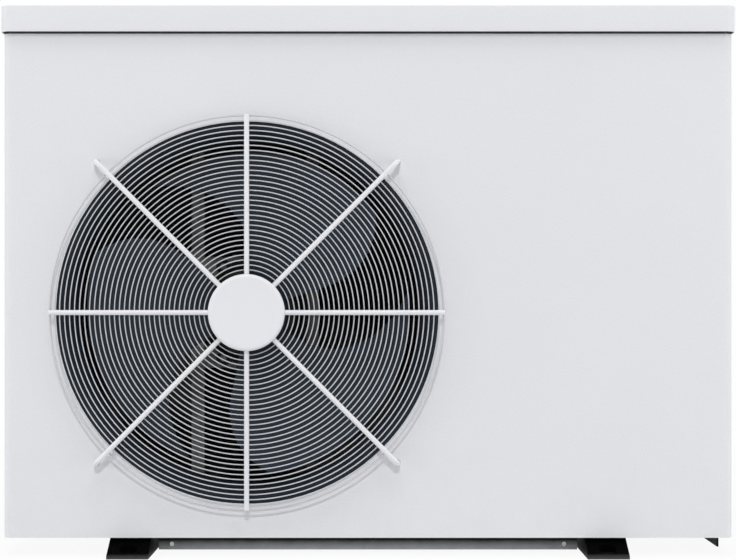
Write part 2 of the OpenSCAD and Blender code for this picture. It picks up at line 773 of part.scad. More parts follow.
module liquid_pipe() {
  x = wall_x + 43;
  color(copper) {
    tube(route([[exch[0], exch[1], exch_z1 + cap_t + 0.1], [exch[0], exch[1], liquid_z],
      [valve[0] + 20.1, exch[1], liquid_z]], 14), 4);
    tube(route([[valve[0] - 20.1, exch[1], liquid_z], [x, exch[1], liquid_z], [x, coil_y, liquid_z],
      [wall_x + 0.1, coil_y, liquid_z]], 10), 4);
  }
}

module gas_pipe() {
  x = valve[0] - valve_p;
  x2 = valve[0] + valve_p;
  color(copper) {
    tube(route([[x, valve[1], valve[2] - 30.1], [x, valve[1], gas_z], [x, coil_y, gas_z],
      [wall_x + 0.1, coil_y, gas_z]], 14), tube_r);
    tube(route([[x2, valve[1], valve[2] - 30.1], [x2, valve[1], heater_z], [x2, exch[1], heater_z],
      [x2, exch[1], exch_z1 + cap_t + 0.1]], 8), tube_r - 0.5);
  }
}

// Water side
module exchanger_shell() {
  color(black) difference() {
    union() {
      translate([exch[0], exch[1], exch_z0]) cylinder(r = exch_r, h = exch_z1 - exch_z0);
      translate([exch[0], exch[1], exch_z1 - 16]) cylinder(r = exch_r + 4, h = 16);
      for (z = [inlet_z, outlet_z]) translate([0, exch[1], z]) {
        along_x(exch[0] + exch_r - 12) cylinder(r = stub_r, h = collar_x1 - exch[0] - exch_r + 12);
        along_x(collar_x0) cylinder(r = collar_r, h = collar_x1 - collar_x0);
      }
      translate([switch_x, exch[1], outlet_z]) cylinder(r = 9, h = stub_r + 3);
    }
    translate([exch[0], exch[1], exch_z0 - 1]) cylinder(r = exch_r - 8, h = skirt + 1);
    translate([exch[0], exch[1], exch_z0 + skirt + exch_wall])
      cylinder(r = exch_r - exch_wall, h = exch_z1);
    for (z = [inlet_z, outlet_z]) translate([0, exch[1], z]) along_x(exch[0] + 40)
      cylinder(r = pipe_r - 2, h = 200);
    translate([switch_x, exch[1], outlet_z]) cylinder(r = 6, h = 60);
  }
}

module exchanger_cap() {
  color(black) difference() {
    union() {
      translate([exch[0], exch[1], exch_z1]) cylinder(r = exch_r + 4, h = cap_t);
      translate([exch[0], exch[1], exch_z1 - 12]) cylinder(r = exch_r - exch_wall - seat, h = 13);
    }
    translate([exch[0], exch[1], exch_z1 - 20]) cylinder(r = exch_r - 14, h = 15);
    for (x = [0, -coil_turn_r]) translate([exch[0] + x, exch[1], exch_z1 - 20])
      cylinder(r = tube_r + seat, h = 40);
  }
}

// Turns of the heating coil, from the lead-in at the side to the riser in the middle
titan_p = (exch_z1 - exch_z0 - 110) / coil_turns;
titan_z = exch_z1 - 44 - titan_p * coil_turns;
titan_points = concat(
  [for (z = [exch_z1 + cap_t - 0.1, exch_z1 - 40]) [exch[0] - coil_turn_r, exch[1], z]],
  [for (i = [1:24 * coil_turns]) [exch[0] - coil_turn_r * cos(i * 15), exch[1] - coil_turn_r * sin(i * 15),
    exch_z1 - 44 - titan_p * i / 24]],
  route([[exch[0] - coil_turn_r + 4, exch[1] - 16, titan_z - 10],
    [exch[0] - 12, exch[1] - 14, titan_z - 18], [exch[0], exch[1], titan_z - 6],
    [exch[0], exch[1], exch_z1 + cap_t - 0.1]], 5, 3));
echo(titanium_coil_least_gap = titan_p - 2 * tube_r);

module titanium_coil() color([0.6, 0.58, 0.55]) tube(titan_points, tube_r, 8);

module tail(z) {
  color(slate) translate([0, exch[1], z]) difference() {
    union() {
      along_x(collar_x1 + seat) cylinder(r = collar_r - 1.5, h = nut_lip);
      along_x(collar_x1 + seat) cylinder(r = pipe_r + tail_t, h = tail_x1 - collar_x1 - seat);
    }
    along_x(tail_x1 - socket_d) cylinder(r = pipe_r + 0.15, h = socket_d + 1);
    along_x(collar_x1 - 1) cylinder(r = pipe_r - 2, h = tail_x1 - collar_x1);
  }
}

module union_nut(z) {
  grip = 8;
  color(slate) translate([0, exch[1], z]) difference() {
    union() {
      along_x(nut_x0) cylinder(r = nut_r - 2, h = nut_x1 + nut_lip - nut_x0);
      for (k = [0:11]) rotate([k * 30, 0, 0]) translate([nut_x0, -grip / 2, nut_r - 6])
        cube([nut_x1 + 2 - nut_x0, grip, 6]);
    }
    along_x(nut_x0 - 1) cylinder(r = collar_r + seat, h = nut_x1 - nut_x0 + 1);
    along_x(nut_x0) cylinder(r = pipe_r + tail_t + seat, h = nut_x1 + 2 * nut_lip - nut_x0);
  }
}

module inlet_tail() tail(inlet_z);
module inlet_nut() union_nut(inlet_z);
module outlet_tail() tail(outlet_z);
module outlet_nut() union_nut(outlet_z);

module flow_switch() {
  z0 = outlet_z + stub_r + 3 + 0.1;
  color(slate) translate([switch_x, exch[1], z0]) difference() {
    union() {
      cylinder(r = 9, h = 4);
      translate([-9, -12, 3]) cube([18, 24, 26]);
    }
    translate([0, 0, -1]) cylinder(r = 6, h = 16);
    translate([0, -9, 8]) along_y(0) cylinder(r = 1.5 + run, h = 18);
  }
}

module flow_paddle() {
  z0 = outlet_z + stub_r + 11.1;
  color(zinc) translate([switch_x, exch[1], z0]) {
    along_y(-8.5) cylinder(r = 1.5, h = 17);
    translate([0, 0, -26]) cylinder(r = 2, h = 26.5);
    translate([-0.8, -8, -56]) cube([1.6, 16, 31]);
  }
}

// Electrical parts
module control_box() {
  x0 = wall_x + sheet + seat;
  w = plate_x - 6 - x0;
  color(zinc) difference() {
    translate([x0, box_y, box_z0]) cube([w, box_d, box_z1 - box_z0]);
    translate([x0 + sheet, box_y + sheet, box_z0 + sheet]) cube([w - 2 * sheet, box_d - 2 * sheet, 200]);
    translate([wall_x, -100, box_z0 + 14]) cube([20, 90, 70]);
  }
}

module control_board() {
  z0 = box_z0 + sheet + 10;
  color([0.1, 0.3, 0.16]) translate([wall_x, 0, 0]) difference() {
    union() {
      translate([48, box_y + 15, z0]) cube([190, box_d - 30, 1.6]);
      for (x = [0, 1], y = [0, 1]) translate([60 + x * 166, box_y + 25 + y * (box_d - 50), box_z0 + sheet])
        cylinder(r = 4, h = 10.2);
      for (k = [0:3]) translate([88 + k * 32, -70, z0 + 1]) cylinder(r = 13, h = 42);
      translate([73, -20, z0 + 1]) cube([60, 46, 30]);
      translate([168, -10, z0 + 1]) cube([40, 30, 18]);
      for (k = [0:6]) translate([88 + k * 18, 60, z0 + 1]) cube([16, 22, 18]);
    }
    for (k = [0:6]) translate([96 + k * 18, 71, z0 + 8]) cylinder(r = 3, h = 20);
  }
}

module heat_sink() {
  color([0.7, 0.71, 0.73]) translate([wall_x - 0.1, -sink_w, box_z0 + 6]) {
    translate([-6, 0, 0]) cube([6, sink_w, sink_h]);
    for (k = [0:13]) translate([-36, k * 8.3, 0]) cube([31, 2, sink_h]);
  }
}

module cable_glands() {
  color(black) gland_spots() difference() {
    union() {
      along_x(plate_x - 9) cylinder(r = gland_r, h = 26);
      along_x(plate_x - 5.1) cylinder(r = 12, h = 5, $fn = 6);
      along_x(plate_x + plate_t + 0.1) cylinder(r = 12, h = 6, $fn = 6);
      along_x(plate_x + plate_t + 5.5) cylinder(r = 10.5, h = 14);
    }
    along_x(plate_x - 10) cylinder(r = 6, h = 60);
  }
}

module service_cover() {
  color(white) difference() {
    translate([side_x, cover_y0, cover_z0]) cube([cover_t, cover_w, cover_h]);
    translate([side_x - 1, cover_y0 + cover_lip, cover_z0 + cover_lip])
      cube([cover_t, cover_w - 2 * cover_lip, cover_h - 2 * cover_lip]);
    cover_screw_spots() along_x(side_x - 1) cylinder(r = 1.5 + seat, h = 6);
  }
}

module key_spots(k) translate([0, ctrl_y + (k - 1) * key_gap, ctrl_z - 24]) children();

module control_bezel() {
  color(slate) difference() {
    union() {
      translate([side_x, ctrl_y - bezel_w / 2, ctrl_z - bezel_h / 2])
        cube([bezel_x1 - side_x, bezel_w, bezel_h]);
      translate([side_x - 8, ctrl_y - bezel_w / 2 + 5 + seat, ctrl_z - bezel_h / 2 + 5 + seat])
        cube([8.5, bezel_w - 10 - 2 * seat, bezel_h - 10 - 2 * seat]);
      for (y = [-1, 1]) translate([bezel_x1 - 1, ctrl_y + y * (bezel_w / 2 - 2.5) - 2.5, hinge_z - 4])
        cube([8, 5, 8]);
    }
    for (k = [0:2]) key_spots(k) along_x(side_x - 10) cylinder(r = key_r + seat, h = 30);
    translate([bezel_x1 - 2.5, ctrl_y - 45, ctrl_z - 8]) cube([6, 90, 36]);
    translate([hinge_x, ctrl_y - bezel_w, hinge_z]) along_y(0) cylinder(r = 1.5 + run, h = 2 * bezel_w);
  }
}

module control_display() color([0.05, 0.08, 0.1])
  translate([bezel_x1 - 2.5, ctrl_y - 45 + seat, ctrl_z - 8 + seat])
    cube([2, 90 - 2 * seat, 36 - 2 * seat]);

module control_flap() {
  w = bezel_w - 10 - 2 * seat;
  drop = bezel_h - 14;
  color(white) translate([hinge_x, ctrl_y, hinge_z]) {
    along_y(-w / 2) cylinder(r = 3, h = w);
    along_y(-bezel_w / 2 + 0.5) cylinder(r = 1.5, h = bezel_w - 1);
    translate([-0.9, -w / 2, -drop]) cube([2.4, w, drop]);
    translate([-0.9, -16, -drop - 1.5]) cube([5, 32, 2.5]);
  }
}

module key(k) color(black) key_spots(k) along_x(side_x - 6)
  cylinder(r = key_r, h = bezel_x1 + key_proud - side_x + 6);
module key_power() key(0);
module key_up() key(1);
module key_down() key(2);

module drain_spigot() {
  color(black) translate([fan_x, drain_y, 0]) difference() {
    union() {
      translate([0, 0, 3]) cylinder(r = drain_r, h = 17);
      translate([0, 0, foot_h - 3 - seat]) cylinder(r = drain_r + 5, h = 3);
      translate([0, 0, foot_h - 2]) cylinder(r = drain_r + 1, h = pan_t + 3);
      translate([0, 0, pan_top + seat]) cylinder(r = drain_r + 6, h = 2);
    }
    translate([0, 0, -1]) cylinder(r = drain_r - 2, h = 60);
  }
}

base_pan();
foot_left();
foot_right();
cross_rail();
connection_plate();
front_panel();
bellmouth_ring();
right_side_panel();
left_side_panel();
rear_panel();
top_cover();
partition_plate();
casing_screws();
base_bolts();
guard_rings();
guard_spokes();
guard_legs();
guard_nuts();
guard_disc();
fan_wheel();
fan_shaft();
fan_nut();
fan_motor();
motor_bracket();
motor_screws();
evaporator_fins();
evaporator_bends();
evaporator_plates();
coil_guard();
compressor();
compressor_grommets();
accumulator();
reversing_valve();
valve_coils();
expansion_valve();
discharge_pipe();
suction_pipe();
liquid_pipe();
gas_pipe();
exchanger_shell();
exchanger_cap();
titanium_coil();
inlet_tail();
inlet_nut();
outlet_tail();
outlet_nut();
flow_switch();
flow_paddle();
control_box();
control_board();
heat_sink();
cable_glands();
service_cover();
control_bezel();
control_display();
control_flap();
key_power();
key_up();
key_down();
drain_spigot();
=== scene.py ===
import bpy
import bmesh
import json
import math
from mathutils import Matrix, Vector


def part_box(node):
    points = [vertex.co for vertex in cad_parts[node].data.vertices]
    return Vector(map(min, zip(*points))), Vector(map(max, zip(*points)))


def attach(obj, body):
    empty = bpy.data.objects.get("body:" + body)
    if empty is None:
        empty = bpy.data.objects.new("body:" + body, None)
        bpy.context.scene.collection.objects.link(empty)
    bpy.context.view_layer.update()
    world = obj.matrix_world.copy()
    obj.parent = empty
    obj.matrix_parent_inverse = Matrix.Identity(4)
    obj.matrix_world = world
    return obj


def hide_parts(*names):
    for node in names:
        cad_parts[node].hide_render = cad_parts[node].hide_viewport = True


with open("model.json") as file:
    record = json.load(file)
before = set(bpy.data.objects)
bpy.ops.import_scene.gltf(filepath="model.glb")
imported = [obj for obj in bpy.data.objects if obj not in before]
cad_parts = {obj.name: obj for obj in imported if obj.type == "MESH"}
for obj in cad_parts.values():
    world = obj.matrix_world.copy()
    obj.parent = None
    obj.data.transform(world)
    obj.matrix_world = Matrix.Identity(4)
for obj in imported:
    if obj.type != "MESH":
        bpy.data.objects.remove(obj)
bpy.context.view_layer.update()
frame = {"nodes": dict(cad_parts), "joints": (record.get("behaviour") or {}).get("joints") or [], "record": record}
parts = frame["nodes"]
mm = 0.001
print("frame loaded:", len(parts), "nodes")


class Wire:
    # an output socket; arithmetic on it adds Math nodes
    def __init__(self, finish, socket):
        self.finish = finish
        self.socket = socket

    def math(self, operation, first, second=0.0):
        return self.finish.node("Math", {"operation": operation}, {0: first, 1: second})

    def __add__(self, other):
        return self.math("ADD", self, other)

    def __sub__(self, other):
        return self.math("SUBTRACT", self, other)

    def __rsub__(self, other):
        return self.math("SUBTRACT", other, self)

    def __mul__(self, other):
        return self.math("MULTIPLY", self, other)

    __radd__ = __add__
    __rmul__ = __mul__


class Finish:
    # a material that is put together node by node
    def __init__(self, name, tree=None):
        if tree is None:
            self.material = bpy.data.materials.new(name)
            self.material.use_nodes = True
            tree = self.material.node_tree
        self.tree = tree
        self.tree.nodes.clear()

    def node(self, kind, settings=None, sockets=None, output=0):
        made = self.tree.nodes.new("ShaderNode" + kind)
        for key, value in (settings or {}).items():
            setattr(made, key, value)
        for key, value in (sockets or {}).items():
            if isinstance(value, Wire):
                self.tree.links.new(value.socket, made.inputs[key])
            else:
                made.inputs[key].default_value = value
        return Wire(self, made.outputs[output]) if made.outputs else None

    def place(self):
        return self.node("TexCoord", output="Object")

    def along(self, where, axis):
        return self.node("SeparateXYZ", None, {"Vector": where}, axis)

    def noise(self, where, scale, detail=2.0, roughness=0.5):
        sockets = {"Vector": where, "Scale": scale, "Detail": detail, "Roughness": roughness}
        return self.node("TexNoise", None, sockets)

    def mix(self, amount, first, second):
        return self.node("Mix", {"data_type": "RGBA"}, {0: amount, 6: first, 7: second}, 2)

    def stretch(self, where, scale):
        return self.node("Mapping", None, {"Vector": where, "Scale": scale})

    def span(self, value, low, high, toLow=0.0, toHigh=1.0):
        limits = {"Value": value, "From Min": low, "From Max": high, "To Min": toLow, "To Max": toHigh}
        return self.node("MapRange", None, limits)

    def bump(self, height, distance, strength=1.0):
        return self.node("Bump", None, {"Height": height, "Distance": distance, "Strength": strength})

    def seen(self):
        # rays that show the stage itself: straight, in gloss or through clear plastic
        straight = self.node("LightPath", output="Is Camera Ray")
        gloss = self.node("LightPath", output="Is Glossy Ray")
        through = self.node("LightPath", output="Is Transmission Ray")
        return straight + gloss + through

    def shade(self, **sockets):
        named = {key.replace("_", " "): value for key, value in sockets.items()}
        surface = self.node("BsdfPrincipled", None, named)
        self.node("OutputMaterial", None, {"Surface": surface})
        return self.material


def toned(colour, factor):
    return tuple(c * factor for c in colour[:3]) + (1.0,)


# white baked powder: orange peel, faint mottle, a little dust low down
powderLook = {
    "colour": (0.763, 0.766, 0.789, 1),
    "lift": 1.0,
    "peel": 430,
    "depth": 0.05 * mm,
    "mottle": 0.022,
    "roughness": 0.46,
    "shine": 0.42,
    "dust": 0.06,
    "dustBand": (0.16, 0.02),  # heights between which the dust comes on
    "dustColour": (0.36, 0.33, 0.29, 1),
    # colour of the painted shade in the gap under the cover's edge
    "seamColour": (0.07, 0.07, 0.072, 1),
}


def powderCoat(name, **own):
    look = dict(powderLook, **own)
    fin = Finish(name)
    where = fin.place()
    peel = fin.noise(where, look["peel"], 1.5, 0.4)
    grit = fin.noise(where, look["peel"] * 3.1, 1.0)
    cloud = fin.noise(where, 7.0, 3.0)
    height = fin.along(where, "Z")
    settled = fin.span(fin.noise(where, 38.0, 4.0, 0.65), 0.35, 0.8)
    dust = fin.span(height, *look["dustBand"]) * settled * look["dust"]
    pale = toned(look["colour"], look["lift"] * (1 + look["mottle"]))
    deep = toned(look["colour"], look["lift"] * (1 - look["mottle"]))
    coat = fin.mix(fin.span(peel * 0.55 + grit * 0.25 + cloud * 0.2, 0.36, 0.64), deep, pale)
    coat = fin.mix(dust, coat, look["dustColour"])
    # painted shade: dark from the given height up, in the gap under the cover's edge
    if "seam" in look:
        inGapShade = fin.span(height + peel * mm, look["seam"], look["seam"] + mm, 0.0, 0.85)
        coat = fin.mix(inGapShade, coat, look["seamColour"])
    rough = fin.span(peel + dust * 2.0, 0.2, 0.9, look["roughness"] - 0.05, look["roughness"] + 0.09)
    normal = fin.bump(peel + grit * 0.3, look["depth"], 0.55)
    return fin.shade(Base_Color=coat, Roughness=rough, Normal=normal, Specular_IOR_Level=look["shine"])


# spangled zinc sheet
zincLook = {
    "pale": (0.40, 0.41, 0.42, 1),
    "deep": (0.27, 0.28, 0.29, 1),
    "spangle": 120,
    "roughness": 0.46,
    "metallic": 0.85,
    "shine": 0.5,
    # colour of the painted shade, where a look asks for it
    "grimeColour": (0.02, 0.02, 0.02, 1),
}


def galvanised(name, **own):
    look = dict(zincLook, **own)
    fin = Finish(name)
    where = fin.place()
    wander = fin.noise(where, 60.0, 2.0)
    spangle = {"Vector": where, "Scale": look["spangle"], "Randomness": 1.0}
    cells = fin.node("TexVoronoi", None, spangle, "Color")
    tone = fin.node("SeparateColor", None, {"Color": cells}, 0) * 0.65 + wander * 0.35
    sheet = fin.mix(tone, look["deep"], look["pale"])
    # painted shade: darker towards the top between the given heights
    if "grime" in look:
        grime = fin.span(fin.along(where, "Z") + wander * 2 * mm, *look["grime"])
        sheet = fin.mix(grime, sheet, look["grimeColour"])
    rough = fin.span(tone, 0.0, 1.0, look["roughness"] + 0.12, look["roughness"] - 0.1)
    normal = fin.bump(tone + fin.noise(where, 900.0, 1.0) * 0.4, 0.03 * mm, 0.5)
    return fin.shade(Base_Color=sheet, Roughness=rough, Metallic=look["metallic"], Normal=normal,
                     Specular_IOR_Level=look["shine"])


# moulded plastic, rubber and dark paint: fine grain, patches and scuffs
mouldedLook = {
    "patch": 14.0,
    "scuff": (90.0, 420.0, 60.0),
    "wear": 0.2,
    "worn": (0.3, 0.3, 0.3, 1),
    "depth": 0.06 * mm,
    "shine": 0.4,
    "dustBand": (7 * mm, 2 * mm),  # heights between which floor dust and painted light on the lower lip come on
}


def moulded(name, **own):
    look = dict(mouldedLook, **own)
    fin = Finish(name)
    where = fin.place()
    grain = fin.noise(where, look["grain"], 2.0, 0.6)
    patch = fin.noise(where, look["patch"], 4.0, 0.6)
    scuff = fin.span(fin.noise(fin.stretch(where, look["scuff"]), 1.0, 3.0, 0.7), 0.62, 0.86)
    pale = toned(look["colour"], 1.16)
    deep = toned(look["colour"], 0.82)
    base = fin.mix(fin.span(grain * 0.6 + patch * 0.4, 0.35, 0.65), deep, pale)
    base = fin.mix(scuff * look["wear"], base, look["worn"])
    # floor dust and painted light: lighter towards the floor, standing in for the lit lower lip
    if "floorDust" in look:
        dust = fin.span(fin.along(where, "Z") + patch * 2 * mm, *look["dustBand"])
        base = fin.mix(dust, base, look["floorDust"])
    rough = fin.span(patch + scuff * 0.3, 0.2, 0.9, look["roughness"] - 0.08, look["roughness"] + 0.12)
    normal = fin.bump(grain, look["depth"], 0.6)
    return fin.shade(Base_Color=base, Roughness=rough, Normal=normal, Specular_IOR_Level=look["shine"])


# drawn or machined metal with lengthwise lines and a tarnish
metalLook = {"draw": (700.0, 700.0, 60.0), "stain": 26.0}


def metal(name, colour, tarnish, roughness):
    fin = Finish(name)
    where = fin.place()
    lines = fin.noise(fin.stretch(where, metalLook["draw"]), 1.0, 2.0, 0.6)
    stain = fin.noise(where, metalLook["stain"], 4.0, 0.65)
    base = fin.mix(fin.span(stain, 0.38, 0.7), colour, tarnish)
    base = fin.mix(fin.span(lines, 0.3, 0.7) * 0.25, base, toned(colour, 1.25))
    rough = fin.span(stain * 0.7 + lines * 0.3, 0.25, 0.75, roughness - 0.08, roughness + 0.16)
    normal = fin.bump(lines, 0.02 * mm, 0.5)
    return fin.shade(Base_Color=base, Roughness=rough, Metallic=1.0, Normal=normal)


panelWhite = powderCoat("panelPowder", seam=0.6155)  # painted shade from this height up, in the gap under the cover's edge
lidWhite = powderCoat("lidPowder")
# the guard's one white coat: a brighter copy for the spokes, legs and disc, painted light, and a darker copy for
# the rings, painted shade
litGuardWhite = powderCoat("guardPowder", lift=1.05, peel=700, depth=0.03 * mm, mottle=0.012, roughness=0.38,
                       dust=0.02)
shadedRingWhite = powderCoat("ringPowder", lift=0.78, peel=900, depth=0.02 * mm, mottle=0.02, roughness=0.5,
                       dust=0.05)
zincSheet = galvanised("zincSheet")
# rail under the pan: zinc painted paler than zinc to stand in for light, and darker towards the top: painted shade
# under the pan's edge
railZinc = galvanised("railZinc", pale=(0.90, 0.90, 0.91, 1), deep=(0.80, 0.80, 0.81, 1),
                      grime=(4.5 * mm, 15.5 * mm), metallic=0.0, shine=0.06)
# motor bracket: a darker copy of the zinc sheet, painted shade inside the fan chamber
bracketZinc = galvanised("bracketZinc", pale=(0.26, 0.265, 0.27, 1), deep=(0.17, 0.175, 0.18, 1),
                         metallic=0.2)
screwZinc = metal("screwZinc", (0.52, 0.53, 0.54, 1), (0.35, 0.34, 0.32, 1), 0.34)
# feet: lighter towards the floor, floor dust and painted light on the lower lip
feetBlack = moulded("feetPaint", colour=(0.001, 0.001, 0.0011, 1), grain=900, roughness=0.62, wear=0.03,
                    worn=(0.006, 0.006, 0.006, 1), shine=0.01, floorDust=(0.075, 0.075, 0.075, 1))
plateBlack = moulded("platePaint", colour=(0.006, 0.006, 0.0065, 1), grain=1100, roughness=0.7, wear=0.06,
                     worn=(0.06, 0.06, 0.06, 1), shine=0.08)
fittingBlack = moulded("fittingPlastic", colour=(0.008, 0.008, 0.0085, 1), grain=1300, roughness=0.6,
                       wear=0.08, worn=(0.07, 0.07, 0.07, 1), shine=0.15)
mouthSlate = moulded("mouthPlastic", colour=(0.014, 0.020, 0.030, 1), grain=800, roughness=0.6, wear=0.05,
                     worn=(0.06, 0.065, 0.07, 1), shine=0.25)
unionGrey = moulded("unionPlastic", colour=(0.085, 0.09, 0.095, 1), grain=1000, roughness=0.42, wear=0.15)
rubberBlack = moulded("grommetRubber", colour=(0.02, 0.02, 0.022, 1), grain=1500, roughness=0.7,
                      wear=0.05)
keyBlack = moulded("keyPlastic", colour=(0.02, 0.02, 0.022, 1), grain=1500, roughness=0.55, wear=0.05)
bezelDark = moulded("bezelPlastic", colour=(0.035, 0.037, 0.04, 1), grain=1600, roughness=0.4, wear=0.06)
canBlack = moulded("canPaint", colour=(0.016, 0.016, 0.017, 1), grain=500, roughness=0.38, wear=0.1,
                   depth=0.1 * mm)
motorGrey = moulded("motorPaint", colour=(0.006, 0.0065, 0.007, 1), grain=600, roughness=0.5, wear=0.06,
                    shine=0.3)
coatedTube = metal("coatedTube", (0.06, 0.035, 0.025, 1), (0.03, 0.02, 0.016, 1), 0.45)
dullSteel = metal("dullSteel", (0.16, 0.165, 0.17, 1), (0.09, 0.09, 0.088, 1), 0.45)
copperTube = metal("copperTube", (0.72, 0.36, 0.2, 1), (0.36, 0.17, 0.1, 1), 0.3)
brassBody = metal("brassBody", (0.68, 0.5, 0.24, 1), (0.4, 0.29, 0.14, 1), 0.34)
titanium = metal("titaniumTube", (0.46, 0.44, 0.41, 1), (0.33, 0.31, 0.3, 1), 0.36)
sinkAlloy = metal("sinkAlloy", (0.66, 0.67, 0.68, 1), (0.5, 0.51, 0.52, 1), 0.38)


# coated coil fins: drip streaks, and a bluer tone near the two faces that the weather reaches
finLook = {
    "colour": (0.22, 0.25, 0.28, 1),
    "streak": (0.28, 0.31, 0.34, 1),
    "outer": (0.10, 0.17, 0.26, 1),
    "deep": 24 * mm,
    "roughness": 0.55,
    "metallic": 0.55,
}


def coatedFins(name, look):
    fin = Finish(name)
    where = fin.place()
    streak = fin.noise(fin.stretch(where, (110.0, 110.0, 5.0)), 1.0, 3.0, 0.6)
    speck = fin.noise(where, 600.0, 2.0)
    base = fin.mix(fin.span(streak * 0.75 + speck * 0.25, 0.35, 0.7), look["colour"], look["streak"])
    low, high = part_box("evaporator_fins")
    back = fin.span(fin.along(where, "Y"), high.y - look["deep"], high.y)
    side = fin.span(fin.along(where, "X"), low.x + look["deep"], low.x)
    weathered = back.math("MAXIMUM", back, side) * (0.7 + streak * 0.5)
    base = fin.mix(weathered, base, look["outer"])
    rough = fin.span(speck, 0.2, 0.8, look["roughness"] - 0.08, look["roughness"] + 0.1)
    normal = fin.bump(speck, 0.02 * mm, 0.5)
    return fin.shade(Base_Color=base, Roughness=rough, Metallic=look["metallic"], Normal=normal)


# glass-filled plastic of the fan: flow marks, fine grain and a little dust
fanLook = {
    "colour": (0.0125, 0.0195, 0.031, 1),
    "pale": (0.021, 0.032, 0.049, 1),
    "dust": 0.04,
    "dustColour": (0.2, 0.2, 0.19, 1),
    "roughness": 0.52,
    "shine": 0.3,
}


def fanPlastic(name, look):
    fin = Finish(name)
    where = fin.place()
    flow = fin.noise(fin.stretch(where, (22.0, 160.0, 22.0)), 1.0, 4.0, 0.65)
    grain = fin.noise(where, 1100.0, 2.0)
    base = fin.mix(fin.span(flow * 0.7 + grain * 0.3, 0.34, 0.68), look["colour"], look["pale"])
    dust = fin.span(fin.noise(where, 30.0, 5.0, 0.7), 0.5, 0.85) * look["dust"]
    base = fin.mix(dust, base, look["dustColour"])
    rough = fin.span(flow, 0.2, 0.8, look["roughness"] - 0.08, look["roughness"] + 0.12)
    normal = fin.bump(grain, 0.05 * mm, 0.5)
    return fin.shade(Base_Color=base, Roughness=rough, Normal=normal, Specular_IOR_Level=look["shine"])


# circuit board: solder mask over copper runs
boardLook = {
    "deep": (0.012, 0.09, 0.035, 1),
    "pale": (0.02, 0.14, 0.055, 1),
    "run": (0.05, 0.22, 0.09, 1),
}


def boardMask(name, look):
    fin = Finish(name)
    where = fin.place()
    bricks = {"Vector": where, "Scale": 90.0, "Mortar Size": 0.03}
    runs = fin.node("TexBrick", {"offset": 0.5}, bricks, "Fac")
    tint = fin.noise(where, 40.0, 3.0)
    base = fin.mix(fin.span(tint, 0.3, 0.7), look["deep"], look["pale"])
    base = fin.mix(runs * 0.6, base, look["run"])
    rough = fin.span(tint, 0.0, 1.0, 0.3, 0.45)
    return fin.shade(Base_Color=base, Roughness=rough, Normal=fin.bump(runs, 0.05 * mm, 0.4))


# dark display lens with a faint smear
lensLook = {
    "deep": (0.004, 0.006, 0.008, 1),
    "pale": (0.011, 0.014, 0.018, 1),
    "gloss": (0.06, 0.16),
    "coat": 0.5,
}


def displayLens(name, look):
    fin = Finish(name)
    smear = fin.noise(fin.place(), 55.0, 3.0, 0.6)
    base = fin.mix(smear, look["deep"], look["pale"])
    rough = fin.span(smear, 0.2, 0.8, *look["gloss"])
    return fin.shade(Base_Color=base, Roughness=rough, Coat_Weight=look["coat"])


# smoked flap with hair scratches, which lets the display show through
flapLook = {
    "deep": (0.03, 0.034, 0.04, 1),
    "pale": (0.06, 0.064, 0.07, 1),
    "gloss": (0.06, 0.2),
    "veil": (0.4, 0.5),
}


def smokedSheet(name, look):
    fin = Finish(name)
    where = fin.place()
    smear = fin.noise(where, 32.0, 4.0, 0.65)
    hair = fin.noise(fin.stretch(where, (200.0, 1400.0, 40.0)), 1.0, 2.0)
    rough = fin.span(smear * 0.7 + hair * 0.3, 0.25, 0.75, *look["gloss"])
    veil = fin.span(smear, 0.2, 0.8, *look["veil"])
    base = fin.mix(smear, look["deep"], look["pale"])
    return fin.shade(Base_Color=base, Roughness=rough, Alpha=veil, Normal=fin.bump(hair, 0.002 * mm, 0.2))


# lit bars and printed marks of the control panel
def litMark(name, colour, glow):
    fin = Finish(name)
    grain = fin.noise(fin.place(), 2200.0, 1.0)
    base = fin.mix(grain, toned(colour, 0.9), toned(colour, 1.1))
    rough = fin.span(grain, 0.2, 0.8, 0.4, 0.55)
    return fin.shade(Base_Color=base, Roughness=rough, Emission_Color=base, Emission_Strength=glow)


finBlue = coatedFins("coilCoating", finLook)
fanSlate = fanPlastic("fanPlastic", fanLook)
boardGreen = boardMask("boardMask", boardLook)
lensDark = displayLens("displayLens", lensLook)
smokedFlap = smokedSheet("smokedFlap", flapLook)
segmentLight = litMark("segmentLight", (0.62, 0.8, 0.9, 1), 0.9)
keyMark = litMark("keyMark", (0.7, 0.71, 0.72, 1), 0.0)
print("finishes made:", len(bpy.data.materials))

